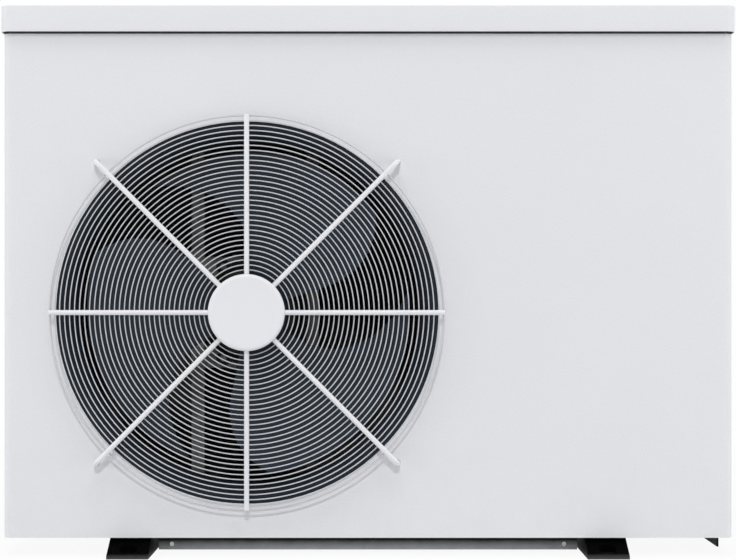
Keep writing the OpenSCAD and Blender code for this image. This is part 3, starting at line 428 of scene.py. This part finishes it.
finishOf = {
    railZinc: ["cross_rail"],
    bracketZinc: ["motor_bracket"],
    zincSheet: ["base_pan", "partition_plate", "evaporator_plates", "control_box"],
    panelWhite: ["front_panel", "right_side_panel", "left_side_panel", "rear_panel"],
    lidWhite: ["top_cover", "service_cover"],
    shadedRingWhite: ["guard_rings"],
    litGuardWhite: ["guard_spokes", "guard_legs", "guard_disc"],
    screwZinc: ["casing_screws", "base_bolts", "guard_nuts", "fan_shaft", "fan_nut"],
    dullSteel: ["motor_screws", "flow_paddle", "expansion_valve"],
    feetBlack: ["foot_left", "foot_right"],
    plateBlack: ["connection_plate", "coil_guard"],
    fittingBlack: ["cable_glands", "drain_spigot", "exchanger_shell", "exchanger_cap", "valve_coils"],
    mouthSlate: ["bellmouth_ring"],
    unionGrey: ["inlet_tail", "inlet_nut", "outlet_tail", "outlet_nut", "flow_switch"],
    rubberBlack: ["compressor_grommets"],
    keyBlack: ["key_power", "key_up", "key_down"],
    canBlack: ["compressor", "accumulator"],
    motorGrey: ["fan_motor"],
    fanSlate: ["fan_wheel"],
    copperTube: ["evaporator_bends", "discharge_pipe", "suction_pipe", "liquid_pipe", "gas_pipe"],
    brassBody: ["reversing_valve"],
    titanium: ["titanium_coil"],
    sinkAlloy: ["heat_sink"],
    finBlue: ["evaporator_fins"],
    boardGreen: ["control_board"],
    bezelDark: ["control_bezel"],
    lensDark: ["control_display"],
    smokedFlap: ["control_flap"],
}
finishFor = {name: finish for finish, names in finishOf.items() for name in names}

# each CAD node takes its finish
for name, piece in parts.items():
    piece.data.materials.clear()
    piece.data.materials.append(finishFor[name])


flatSheet = 0.01  # square metres; larger faces are flat sheet, and stay flat beside their rounded edges
levelWithin = 0.01 * mm  # points closer than this count as level
weld = 0.001 * mm  # points closer than this are merged
alongX = Matrix.Rotation(math.radians(90), 4, "Y")
facingFront = Matrix.Rotation(math.radians(90), 4, "X")


def finished(shape, name, body, finish, replaced=(), crease=35):
    data = bpy.data.meshes.new(name)
    shape.to_mesh(data)
    shape.free()
    data.polygons.foreach_set("use_smooth", [face.area < flatSheet for face in data.polygons])
    data.set_sharp_from_angle(angle=math.radians(crease))
    data.materials.append(finish)
    piece = bpy.data.objects.new(name, data)
    bpy.context.scene.collection.objects.link(piece)
    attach(piece, body)
    if replaced:
        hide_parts(*replaced)
    return piece


def softened(shape, edges, width, segments=2):
    bmesh.ops.bevel(shape, geom=list(edges), offset=width, offset_type="OFFSET", segments=segments,
                    profile=0.5, affect="EDGES", clamp_overlap=True, material=-1)


def sharpEdges(shape, least=40):
    paired = [e for e in shape.edges if len(e.link_faces) == 2]
    return [e for e in paired if e.calc_face_angle(0.0) > math.radians(least)]


def pointsIn(geometry):
    return [g for g in geometry if isinstance(g, bmesh.types.BMVert)]


def edgesIn(geometry):
    return [g for g in geometry if isinstance(g, bmesh.types.BMEdge)]


def edgesAt(points):
    return list(dict.fromkeys(e for v in points for e in v.link_edges))


def edgesLevel(geometry, axis, level):
    return [e for e in edgesIn(geometry) if all(abs(v.co[axis] - level) < levelWithin for v in e.verts)]


def pulled(shape, edges, along):
    grown = bmesh.ops.extrude_edge_only(shape, edges=edges)["geom"]
    bmesh.ops.translate(shape, verts=pointsIn(grown), vec=along)
    return grown


def boxed(shape, place, size):
    bmesh.ops.create_cube(shape, size=1.0, matrix=place @ Matrix.Diagonal((*size, 1)))


# rise and fall of a quarter circle, for rolled rims
def quarterTurn(steps):
    turns = [math.radians(90 * k / steps) for k in range(steps + 1)]
    return [(math.sin(turn), 1 - math.cos(turn)) for turn in turns]


# turns a profile of (radius, y) pairs round an axis along Y
def spunRound(shape, profile, centre, steps, closed=True):
    points = [shape.verts.new((centre.x + r, y, centre.z)) for r, y in profile]
    following = points[1:] + points[:1] if closed else points[1:]
    line = [shape.edges.new(pair) for pair in zip(points, following)]
    bmesh.ops.spin(shape, geom=points + line, cent=centre, axis=(0, 1, 0), angle=math.tau, steps=steps,
                   use_merge=True)
    bmesh.ops.remove_doubles(shape, verts=shape.verts, dist=weld)


# copies of CAD nodes with rolled edges, in millimetres; 0 only smooths the curved faces
rolledEdges = {
    "foot_left": 1.0, "foot_right": 1.0, "service_cover": 0.8, "control_bezel": 1.0,
    "inlet_nut": 0.7, "outlet_nut": 0.7, "inlet_tail": 0.6, "outlet_tail": 0.6, "cable_glands": 0.5,
    "connection_plate": 0.5, "control_display": 0.3, "key_power": 0.5, "key_up": 0.5,
    "key_down": 0.5, "control_flap": 0.4, "cross_rail": 0.4, "casing_screws": 0.25,
    "front_panel": 0.0, "right_side_panel": 0.0, "left_side_panel": 0.0, "rear_panel": 0.0,
    "coil_guard": 0.0, "compressor": 0.0, "accumulator": 0.0, "fan_motor": 0.0, "fan_nut": 0.4,
    "exchanger_shell": 0.0, "exchanger_cap": 0.6, "discharge_pipe": 0.0, "suction_pipe": 0.0,
    "liquid_pipe": 0.0, "gas_pipe": 0.0, "evaporator_bends": 0.0, "titanium_coil": 0.0,
    "drain_spigot": 0.4, "fan_shaft": 0.5, "guard_nuts": 0.3,
}
bodyOf = {name: body for body, names in frame["record"]["behaviour"]["bodies"].items() for name in names}


def rolled(name, width):
    shape = bmesh.new()
    shape.from_mesh(parts[name].data)
    bmesh.ops.remove_doubles(shape, verts=shape.verts, dist=weld)
    bmesh.ops.dissolve_limit(shape, angle_limit=math.radians(0.4), verts=shape.verts, edges=shape.edges,
                             delimit={"NORMAL"})
    if width:
        softened(shape, sharpEdges(shape), width * mm)
    camel = "".join(word.capitalize() for word in name.split("_"))
    return finished(shape, "rolled" + camel, bodyOf[name], finishFor[name], [name], 20 if width else 35)


for name, width in rolledEdges.items():
    rolled(name, width)
print("rolled edges:", len(rolledEdges), "pieces")

# top cover: folded tray with a rolled upper edge, its rim a little lower than the solid's
lidLook = {"sheet": 1.2 * mm, "corner": 12 * mm, "roll": 1.3 * mm, "drop": 0.5 * mm}


def topCover(look):
    low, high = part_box("top_cover")
    low.z -= look["drop"]
    size = high - low
    shape = bmesh.new()
    boxed(shape, Matrix.Translation((low + high) / 2), size)
    upright = [e for e in shape.edges if abs(e.verts[0].co.z - e.verts[1].co.z) > size.z / 2]
    softened(shape, upright, look["corner"], 8)
    rim = [e for e in sharpEdges(shape) if all(v.co.z > high.z - mm for v in e.verts)]
    softened(shape, rim, look["roll"], 4)
    under = [f for f in shape.faces if all(v.co.z < low.z + levelWithin for v in f.verts)]
    bmesh.ops.delete(shape, geom=under, context="FACES_ONLY")
    bmesh.ops.recalc_face_normals(shape, faces=shape.faces)
    bmesh.ops.solidify(shape, geom=list(shape.faces), thickness=look["sheet"])
    return finished(shape, "lidTray", "casing", lidWhite, ["top_cover"])


topCover(lidLook)
print("top cover made")

# wire guard: rings spun round the fan axis, rods drawn out from a plate to the rim or to bent legs
guardLook = {
    "rings": 32, "first": 50 * mm, "last": 231 * mm, "wire": 1.4 * mm, "hoop": 2.2 * mm, "turns": 144,
    "sides": 8,
    "spokes": 8, "rod": 6 * mm, "rodSides": 16, "rodStart": 12 * mm, "shortReach": 232 * mm,
    "tip": 1.3 * mm, "bendAt": 244 * mm, "bend": 6 * mm, "bendSteps": 8,
    "plate": 38 * mm, "plateThick": 2 * mm, "plateSides": 64, "plateSunk": 0.25 * mm,
}
fanLow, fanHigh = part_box("guard_disc")
fanAxis = Vector(((fanLow.x + fanHigh.x) / 2, 0, (fanLow.z + fanHigh.z) / 2))
ringLow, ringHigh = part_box("guard_rings")
ringY = (ringLow.y + ringHigh.y) / 2
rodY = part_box("guard_spokes")[1].y - guardLook["rod"] / 2
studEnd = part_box("guard_legs")[1].y


def ringWires(look):
    shape = bmesh.new()
    step = (look["last"] - look["first"]) / (look["rings"] - 1)
    for k in range(look["rings"]):
        at = fanAxis + Vector((look["first"] + k * step, ringY, 0))
        thick = look["hoop"] if k == look["rings"] - 1 else look["wire"]  # the outer hoop is heavier wire
        bmesh.ops.create_circle(shape, segments=look["sides"], radius=thick / 2,
                                matrix=Matrix.Translation(at))
    bmesh.ops.spin(shape, geom=shape.verts[:] + shape.edges[:], cent=fanAxis, axis=(0, 1, 0),
                   angle=math.tau, steps=look["turns"], use_merge=True)
    bmesh.ops.recalc_face_normals(shape, faces=shape.faces)
    return finished(shape, "ringWires", "casing", shadedRingWhite, ["guard_rings"])


def spokeRods(look):
    shape = bmesh.new()
    start = Matrix.Translation((look["rodStart"], rodY, 0)) @ alongX
    for k in range(look["spokes"]):
        begun = set(shape.verts)
        section = bmesh.ops.create_circle(shape, cap_ends=True, segments=look["rodSides"],
                                          radius=look["rod"] / 2, matrix=start)["verts"]
        bent = k % 2 == 1  # every second rod runs on and turns back to the panel
        reach = look["bendAt"] if bent else look["shortReach"]
        grown = pulled(shape, edgesAt(section), (reach - look["rodStart"], 0, 0))
        end = edgesLevel(grown, 0, reach)
        if bent:
            turned = bmesh.ops.spin(shape, geom=end, cent=(reach, rodY + look["bend"], 0), axis=(0, 0, 1),
                                    angle=math.radians(90), steps=look["bendSteps"])["geom_last"]
            stud = pulled(shape, edgesIn(turned), (0, studEnd - rodY - look["bend"], 0))
            end = edgesLevel(stud, 1, studEnd)
        tip = bmesh.ops.contextual_create(shape, geom=end)["faces"]
        softened(shape, [e for f in tip for e in f.edges], look["tip"], 3)
        rod = [v for v in shape.verts if v not in begun]
        turn = Matrix.Rotation(math.radians(-360 * k / look["spokes"]), 3, "Y")
        bmesh.ops.rotate(shape, verts=rod, cent=(0, 0, 0), matrix=turn)
    plateY = rodY - look["rod"] / 2 - look["plateThick"] / 2 + look["plateSunk"]
    bmesh.ops.create_cone(shape, cap_ends=True, segments=look["plateSides"], radius1=look["plate"],
                          radius2=look["plate"], depth=look["plateThick"],
                          matrix=Matrix.Translation((0, plateY, 0)) @ facingFront)
    bmesh.ops.translate(shape, verts=shape.verts, vec=fanAxis)
    bmesh.ops.recalc_face_normals(shape, faces=shape.faces)
    return finished(shape, "spokeRods", "casing", litGuardWhite, ["guard_spokes", "guard_legs"])


# bare centre disc: shallow dish with a rolled rim
discLook = {"radius": 45 * mm, "roll": 4 * mm, "land": 4 * mm, "dish": 0.8 * mm, "wall": 1.6 * mm,
            "cove": 3 * mm, "turns": 96}


def centreDisc(look):
    low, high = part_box("guard_disc")
    front = low.y
    radius = look["radius"]
    roll = look["roll"]
    dish = look["dish"]
    inner = radius - look["wall"]
    behind = front + dish + look["wall"]
    profile = [(0, front + dish), (radius * 0.55, front + dish * 0.8)]
    profile += [(radius - roll - look["land"], front + dish * 0.45)]
    profile += [(radius - roll + roll * rise, front + roll * fall) for rise, fall in quarterTurn(6)]
    profile += [(radius, high.y), (inner, high.y), (inner, front + roll)]
    profile += [(inner - look["cove"], behind), (0, behind)]
    shape = bmesh.new()
    spunRound(shape, profile, fanAxis, look["turns"], closed=False)
    bmesh.ops.recalc_face_normals(shape, faces=shape.faces)
    return finished(shape, "centreDisc", "casing", litGuardWhite, ["guard_disc"], 50)


ringWires(guardLook)
spokeRods(guardLook)
centreDisc(discLook)
print("wire guard made")

# bellmouth: rolled inlet lip, straight throat and flange
mouthLook = {"lip": 225.5 * mm, "throat": 204 * mm, "reach": 36 * mm, "wall": 2.5 * mm,
             "flange": 241 * mm, "turns": 160}


def bellmouth(look):
    low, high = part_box("bellmouth_ring")
    wall = look["wall"]
    drawn = look["lip"] - look["throat"]
    inner = [(look["lip"] - drawn * rise, low.y + look["reach"] * fall) for rise, fall in quarterTurn(12)]
    outer = [(r + wall, y + wall) for r, y in reversed(inner)]
    profile = inner + [(look["throat"], high.y), (look["throat"] + wall, high.y)] + outer
    profile += [(look["flange"], low.y + wall), (look["flange"], low.y)]
    shape = bmesh.new()
    spunRound(shape, profile, fanAxis, look["turns"])
    bmesh.ops.recalc_face_normals(shape, faces=shape.faces)
    return finished(shape, "mouthRing", "casing", mouthSlate, ["bellmouth_ring"])


bellmouth(mouthLook)

# fan: sickle blades on a ribbed hub
fanShape = {
    "blades": 3, "tip": 193 * mm, "rootDepth": 40 * mm, "tipDepth": 60 * mm, "thick": 2.4 * mm,
    "edge": 0.7 * mm, "sunk": 2 * mm, "camber": 6 * mm, "forward": 3 * mm, "across": 26, "along": 22,
    # blade edges: degrees at the root, degrees added by the tip, radius where that begins, its power
    "trail": (138, 20, 90 * mm, 2.2), "lead": (211, 37, 75 * mm, 1.6),
    "hub": 46 * mm, "halfHub": 25 * mm, "hubWall": 3 * mm, "hubWeb": 4 * mm, "bore": 5.1 * mm,
    "boss": 13 * mm, "groove": 0.8 * mm, "grooveFrom": (14 * mm, 16 * mm), "grooveTo": (9 * mm, 7 * mm),
    "turns": 72,
    "ribs": 6, "ribThick": 2.4 * mm, "ribDepth": 34 * mm, "ribAt": 20 * mm, "ribFrom": 13 * mm,
    "ribIn": 2 * mm, "ribTurn": 0.2,
}
spinJoint = next(j for j in frame["joints"] if j["name"] == "fan_spin")


def edgeAngle(edge, r, tip):
    root, added, start, power = edge
    return root + added * max(0.0, (r - start) / (tip - start)) ** power


def bladePoint(look, u, v, middle):
    r = look["hub"] - look["sunk"] + u * (look["tip"] - look["hub"] + look["sunk"])
    trail = edgeAngle(look["trail"], r, look["tip"])
    lead = edgeAngle(look["lead"], r, look["tip"])
    turn = math.radians(trail + v * (lead - trail))
    depth = look["rootDepth"] + u * (look["tipDepth"] - look["rootDepth"])
    camber = look["camber"] * math.sin(math.pi * v) * (0.5 + 0.5 * u)
    y = middle + depth * (v - 0.5) + camber - look["forward"]
    return Vector((r * math.cos(turn), y, r * math.sin(turn)))


def fanBlades(shape, look, middle):
    bmesh.ops.create_grid(shape, x_segments=look["along"], y_segments=look["across"], size=0.5)
    for v in shape.verts:
        v.co = bladePoint(look, v.co.x + 0.5, v.co.y + 0.5, middle)
    bmesh.ops.recalc_face_normals(shape, faces=shape.faces)
    bmesh.ops.translate(shape, verts=shape.verts, vec=(0, look["thick"] / 2, 0))
    bmesh.ops.solidify(shape, geom=list(shape.faces), thickness=look["thick"])
    bmesh.ops.recalc_face_normals(shape, faces=shape.faces)
    softened(shape, sharpEdges(shape, 50), look["edge"], 2)
    blade = list(shape.verts) + list(shape.edges) + list(shape.faces)
    for k in range(1, look["blades"]):
        copied = bmesh.ops.duplicate(shape, geom=blade)["geom"]
        turn = Matrix.Rotation(math.tau * k / look["blades"], 3, "Y")
        bmesh.ops.rotate(shape, verts=pointsIn(copied), cent=(0, 0, 0), matrix=turn)


def fanHub(shape, look, middle):
    front = middle - look["halfHub"]
    back = middle + look["halfHub"]
    hub = look["hub"]
    wall = look["hubWall"]
    inner = hub - wall
    web = front + look["hubWeb"]
    sunk = front + look["groove"]
    profile = [(look["bore"], front), (look["grooveFrom"][0], front), (look["grooveFrom"][1], sunk)]
    profile += [(hub - look["grooveTo"][0], sunk), (hub - look["grooveTo"][1], front)]
    profile += [(inner + wall * rise, front + wall * fall) for rise, fall in quarterTurn(4)]
    profile += [(hub, back), (inner, back), (inner, web), (look["boss"], web), (look["boss"], back)]
    profile += [(look["bore"], back)]
    spunRound(shape, profile, Vector((0, 0, 0)), look["turns"])
    ribEnd = hub - look["ribIn"]
    size = (ribEnd - look["ribFrom"], look["ribDepth"], look["ribThick"])
    at = Matrix.Translation(((ribEnd + look["ribFrom"]) / 2, front + look["ribAt"], 0))
    for k in range(look["ribs"]):
        turn = Matrix.Rotation(math.tau * k / look["ribs"] + look["ribTurn"], 4, "Y")
        boxed(shape, turn @ at, size)


def fanWheel(look):
    middle = spinJoint["pos_m"][1]
    shape = bmesh.new()
    fanBlades(shape, look, middle)
    fanHub(shape, look, middle)
    bmesh.ops.translate(shape, verts=shape.verts, vec=fanAxis)
    bmesh.ops.recalc_face_normals(shape, faces=shape.faces)
    return finished(shape, "sickleFan", "fan", fanSlate, ["fan_wheel"], 40)


fanWheel(fanShape)
print("fan and bellmouth made")

# bent coil: thin waved fins on two files of tube
coilLook = {
    "pitch": 2.1 * mm, "fin": 0.22 * mm, "depth": 36 * mm, "bend": 40 * mm, "wave": 2.6 * mm, "waves": 6,
    "rows": 22, "rowPitch": 25.4 * mm, "files": (-10 * mm, 10 * mm), "tube": 4.8 * mm, "tubeSides": 10,
    "tubeIn": 3 * mm, "tubeShort": 1 * mm, "topGap": 12 * mm, "bendSteps": 8,
}
coilLow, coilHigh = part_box("evaporator_fins")
coilCorner = Vector((coilLow.x + coilLook["depth"] / 2, coilHigh.y - coilLook["depth"] / 2, 0))
coilLeg = coilCorner.y - coilLook["bend"] - coilLow.y  # straight length on the left side
coilRun = coilHigh.x - coilCorner.x - coilLook["bend"]  # straight length along the back


def coilPlace(look, s):
    bend = look["bend"]
    arc = bend * math.pi / 2
    centre = Vector((coilCorner.x + bend, coilCorner.y - bend, 0))
    if s < coilLeg:
        return Vector((coilCorner.x, coilCorner.y - bend - coilLeg + s, 0)), math.radians(90)
    if s < coilLeg + arc:
        turn = math.pi - (s - coilLeg) / bend
        return centre + bend * Vector((math.cos(turn), math.sin(turn), 0)), turn - math.pi / 2
    return Vector((coilCorner.x + bend + s - coilLeg - arc, coilCorner.y, 0)), 0.0


def coilFins(look):
    length = coilLeg + look["bend"] * math.pi / 2 + coilRun
    count = int(length / look["pitch"])
    tall = coilHigh.z - coilLow.z
    shape = bmesh.new()
    for k in range(count):
        at, turn = coilPlace(look, (k + 0.5) * length / count)
        at.z = coilLow.z + tall / 2
        begun = set(shape.verts)
        bmesh.ops.create_grid(shape, x_segments=1, y_segments=look["waves"], size=0.5)
        fin = [v for v in shape.verts if v not in begun]
        for v in fin:
            wave = round((v.co.y + 0.5) * look["waves"])
            v.co = Vector((look["wave"] * (wave % 2 - 0.5), v.co.y * look["depth"], v.co.x * tall))
        placed = Matrix.Translation(at) @ Matrix.Rotation(turn, 4, "Z")
        bmesh.ops.transform(shape, verts=fin, matrix=placed)
    bmesh.ops.solidify(shape, geom=list(shape.faces), thickness=look["fin"])
    return finished(shape, "coilFins", "casing", finBlue, ["evaporator_fins"])


def coilTubes(look):
    shape = bmesh.new()
    bend = look["bend"]
    turnY = coilCorner.y - bend
    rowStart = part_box("evaporator_bends")[0].z + look["tube"]
    for k in range(look["rows"]):
        z = rowStart + k * look["rowPitch"]
        if z > coilHigh.z - look["topGap"]:
            continue
        for side in look["files"]:
            start = Matrix.Translation((coilCorner.x - side, turnY - coilLeg + look["tubeIn"], z))
            section = bmesh.ops.create_circle(shape, segments=look["tubeSides"], radius=look["tube"],
                                              matrix=start @ facingFront)["verts"]
            grown = pulled(shape, edgesAt(section), (0, coilLeg - look["tubeIn"], 0))
            end = edgesLevel(grown, 1, turnY)
            turned = bmesh.ops.spin(shape, geom=end, cent=(coilCorner.x + bend, turnY, z), axis=(0, 0, 1),
                                    angle=math.radians(-90), steps=look["bendSteps"])["geom_last"]
            pulled(shape, edgesIn(turned), (coilRun - look["tubeShort"], 0, 0))
    bmesh.ops.recalc_face_normals(shape, faces=shape.faces)
    return finished(shape, "coilTubes", "casing", coatedTube)


coilFins(coilLook)
coilTubes(coilLook)
print("coil made")

# lit bars of the display
barLook = {
    "shown": "28", "digit": 22 * mm, "wide": 0.52, "bar": 2.2 * mm, "thick": 0.3 * mm, "lift": 0.15 * mm,
    "slant": 0.08, "first": 20 * mm, "step": 19 * mm, "degree": 1.8 * mm, "degreeAt": (16 * mm, 8 * mm),
    "degreeHole": 0.62,
}
# each bar: its place across and up, and whether it lies flat
barPlace = {
    "a": (0, 1, True), "g": (0, 0, True), "d": (0, -1, True),
    "f": (-1, 0.5, False), "b": (1, 0.5, False), "e": (-1, -0.5, False), "c": (1, -0.5, False),
}
barsOf = {"2": "abged", "8": "abcdefg"}


def displayBars(look):
    low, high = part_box("control_display")
    middle = (low + high) / 2
    x = high.x + look["lift"]
    tall = look["digit"]
    wide = tall * look["wide"]
    thin = look["bar"]
    shape = bmesh.new()
    for k, digit in enumerate(look["shown"]):
        for bar in barsOf[digit]:
            across, up, flat = barPlace[bar]
            size = (look["thick"], wide - thin, thin) if flat else (look["thick"], thin, tall / 2 - thin)
            lean = up * tall / 2 * look["slant"]
            y = middle.y - look["first"] + k * look["step"] + across * wide / 2 + lean
            boxed(shape, Matrix.Translation((x, y, middle.z + up * tall / 2)), size)
    degreeY = middle.y + look["degreeAt"][0]
    degreeZ = middle.z + look["degreeAt"][1]
    ring = bmesh.ops.create_circle(shape, segments=20, radius=look["degree"],
                                   matrix=Matrix.Translation((x, degreeY, degreeZ)) @ alongX)["verts"]
    hole = pulled(shape, edgesAt(ring), (0, 0, 0))
    bmesh.ops.scale(shape, verts=pointsIn(hole), vec=(1, look["degreeHole"], look["degreeHole"]),
                    space=Matrix.Translation((0, -degreeY, -degreeZ)))
    return finished(shape, "displayBars", "casing", segmentLight)


# marks printed on the keys: a broken ring with a stem, and two arrows
markLook = {"size": 3.2 * mm, "inner": 2.4 * mm, "thick": 0.2 * mm, "lift": 0.05 * mm,
            "ringLift": 0.1 * mm, "gap": 0.6, "stem": (0.8 * mm, 3 * mm), "stemAt": 2.4 * mm}
arrowTurn = {"up": 180, "down": 0}


def arrowMark(shape, look, spot, degrees):
    turn = Matrix.Rotation(math.radians(degrees), 4, "Z")
    at = Matrix.Translation(spot + Vector((look["lift"], 0, 0))) @ alongX
    bmesh.ops.create_cone(shape, cap_ends=True, segments=3, radius1=look["size"], radius2=look["size"],
                          depth=look["thick"], matrix=at @ turn)


def powerMark(shape, look, spot):
    gap = look["gap"]
    outwards = Vector((0, math.sin(gap), math.cos(gap)))
    raised = spot + Vector((look["ringLift"], 0, 0))
    points = [shape.verts.new(raised + r * outwards) for r in (look["inner"], look["size"])]
    line = [shape.edges.new(points)]
    bmesh.ops.spin(shape, geom=points + line, cent=spot, axis=(1, 0, 0), angle=2 * gap - math.tau,
                   steps=30)
    stemAt = spot + Vector((look["lift"], 0, look["stemAt"]))
    boxed(shape, Matrix.Translation(stemAt), (look["thick"], *look["stem"]))


def keyMarks(look):
    for key in ("power", "up", "down"):
        low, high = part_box("key_" + key)
        middle = (low + high) / 2
        spot = Vector((high.x, middle.y, middle.z))
        shape = bmesh.new()
        if key in arrowTurn:
            arrowMark(shape, look, spot, arrowTurn[key])
        else:
            powerMark(shape, look, spot)
        finished(shape, "mark" + key.capitalize(), key + "_key", keyMark)


displayBars(barLook)
keyMarks(markLook)
print("control panel made")

# stage: pale floor that whitens with distance, soft sky
stageLook = {
    "floor": (0.88, 0.88, 0.89, 1),
    "floorWhite": 0.92,  # how white the floor is to the eye by the object; the rest keeps the shadow
    "fade": (0.7, 2.4),
    "halfFloor": 9.0,
    "sky": 0.295,
    "skyColour": (0.98, 0.99, 1.0, 1),
}


def floorFinish(look):
    fin = Finish("floorPaper")
    where = fin.place()
    fleck = fin.noise(where, 60.0, 3.0)
    paper = fin.mix(fleck, toned(look["floor"], 0.99), look["floor"])
    matt = fin.node("BsdfDiffuse", None, {"Color": paper})
    white = fin.node("Emission", None, {"Color": (1, 1, 1, 1), "Strength": 1.0})
    away = fin.node("VectorMath", {"operation": "LENGTH"}, {0: where}, "Value")
    plain = fin.span(away, *look["fade"], look["floorWhite"], 1.0)
    both = fin.node("MixShader", None, {0: fin.seen() * plain, 1: matt, 2: white})
    fin.node("OutputMaterial", None, {"Surface": both})
    return fin.material


def floor(look):
    shape = bmesh.new()
    bmesh.ops.create_grid(shape, x_segments=4, y_segments=4, size=look["halfFloor"])
    data = bpy.data.meshes.new("floorSheet")
    shape.to_mesh(data)
    shape.free()
    data.materials.append(floorFinish(look))
    sheet = bpy.data.objects.new("floorSheet", data)
    bpy.context.scene.collection.objects.link(sheet)


def sky(look):
    world = bpy.data.worlds.new("studioSky")
    bpy.context.scene.world = world
    world.use_nodes = True
    fin = Finish("studioSky", world.node_tree)
    plain = fin.node("Background", None, {"Color": (1, 1, 1, 1), "Strength": 1.0})
    soft = fin.node("Background", None, {"Color": look["skyColour"], "Strength": look["sky"]})
    both = fin.node("MixShader", None, {0: fin.seen(), 1: soft, 2: plain})
    fin.node("OutputWorld", None, {"Surface": both})


# softboxes: place, aim, size, watts, and whether the lamp shows in gloss
lampLook = {
    "keySoftbox": ((0, -6.6, 5.3), (0, -0.17, 0.29), (0.7, 0.7), 196.0, False),
    "topSoftbox": ((0, -1.6, 5.0), (0, 0, 0.5), (3.0, 2.0), 85.0, True),
    "leftSoftbox": ((-2.4, -0.7, 0.45), (0, 0, 0.3), (1.2, 0.9), 14.3, False),
    "rightSoftbox": ((2.4, -0.7, 0.45), (0, 0, 0.3), (1.2, 0.9), 14.3, False),
    "backSoftbox": ((0, 3.0, 1.5), (0, 0, 0.3), (1.6, 1.2), 17.0, True),
}


def lamp(name, at, towards, size, power, glare):
    light = bpy.data.lights.new(name, "AREA")
    light.shape = "RECTANGLE"
    light.size, light.size_y = size
    light.energy = power
    holder = bpy.data.objects.new(name, light)
    holder.location = at
    holder.rotation_euler = (Vector(towards) - Vector(at)).to_track_quat("-Z", "Y").to_euler()
    holder.visible_glossy = glare  # a lamp without glare lights as if through a polariser
    bpy.context.scene.collection.objects.link(holder)


# level camera in front, its picture shifted to where the photo has the unit
cameraLook = {"sensor": 36.0, "lens": 99.79, "shift": 30.0 / 736, "at": (0, -2.565, 0.290)}


def camera(look):
    lens = bpy.data.cameras.new("photoLens")
    lens.sensor_width = look["sensor"]
    lens.lens = look["lens"]
    lens.shift_y = look["shift"]
    holder = bpy.data.objects.new("photoLens", lens)
    holder.location = look["at"]
    holder.rotation_euler = (math.radians(90), 0, 0)
    bpy.context.scene.collection.objects.link(holder)
    bpy.context.scene.camera = holder


floor(stageLook)
sky(stageLook)
for name, settings in lampLook.items():
    lamp(name, *settings)
camera(cameraLook)
bpy.context.scene.view_settings.view_transform = "Standard"
print("stage made")
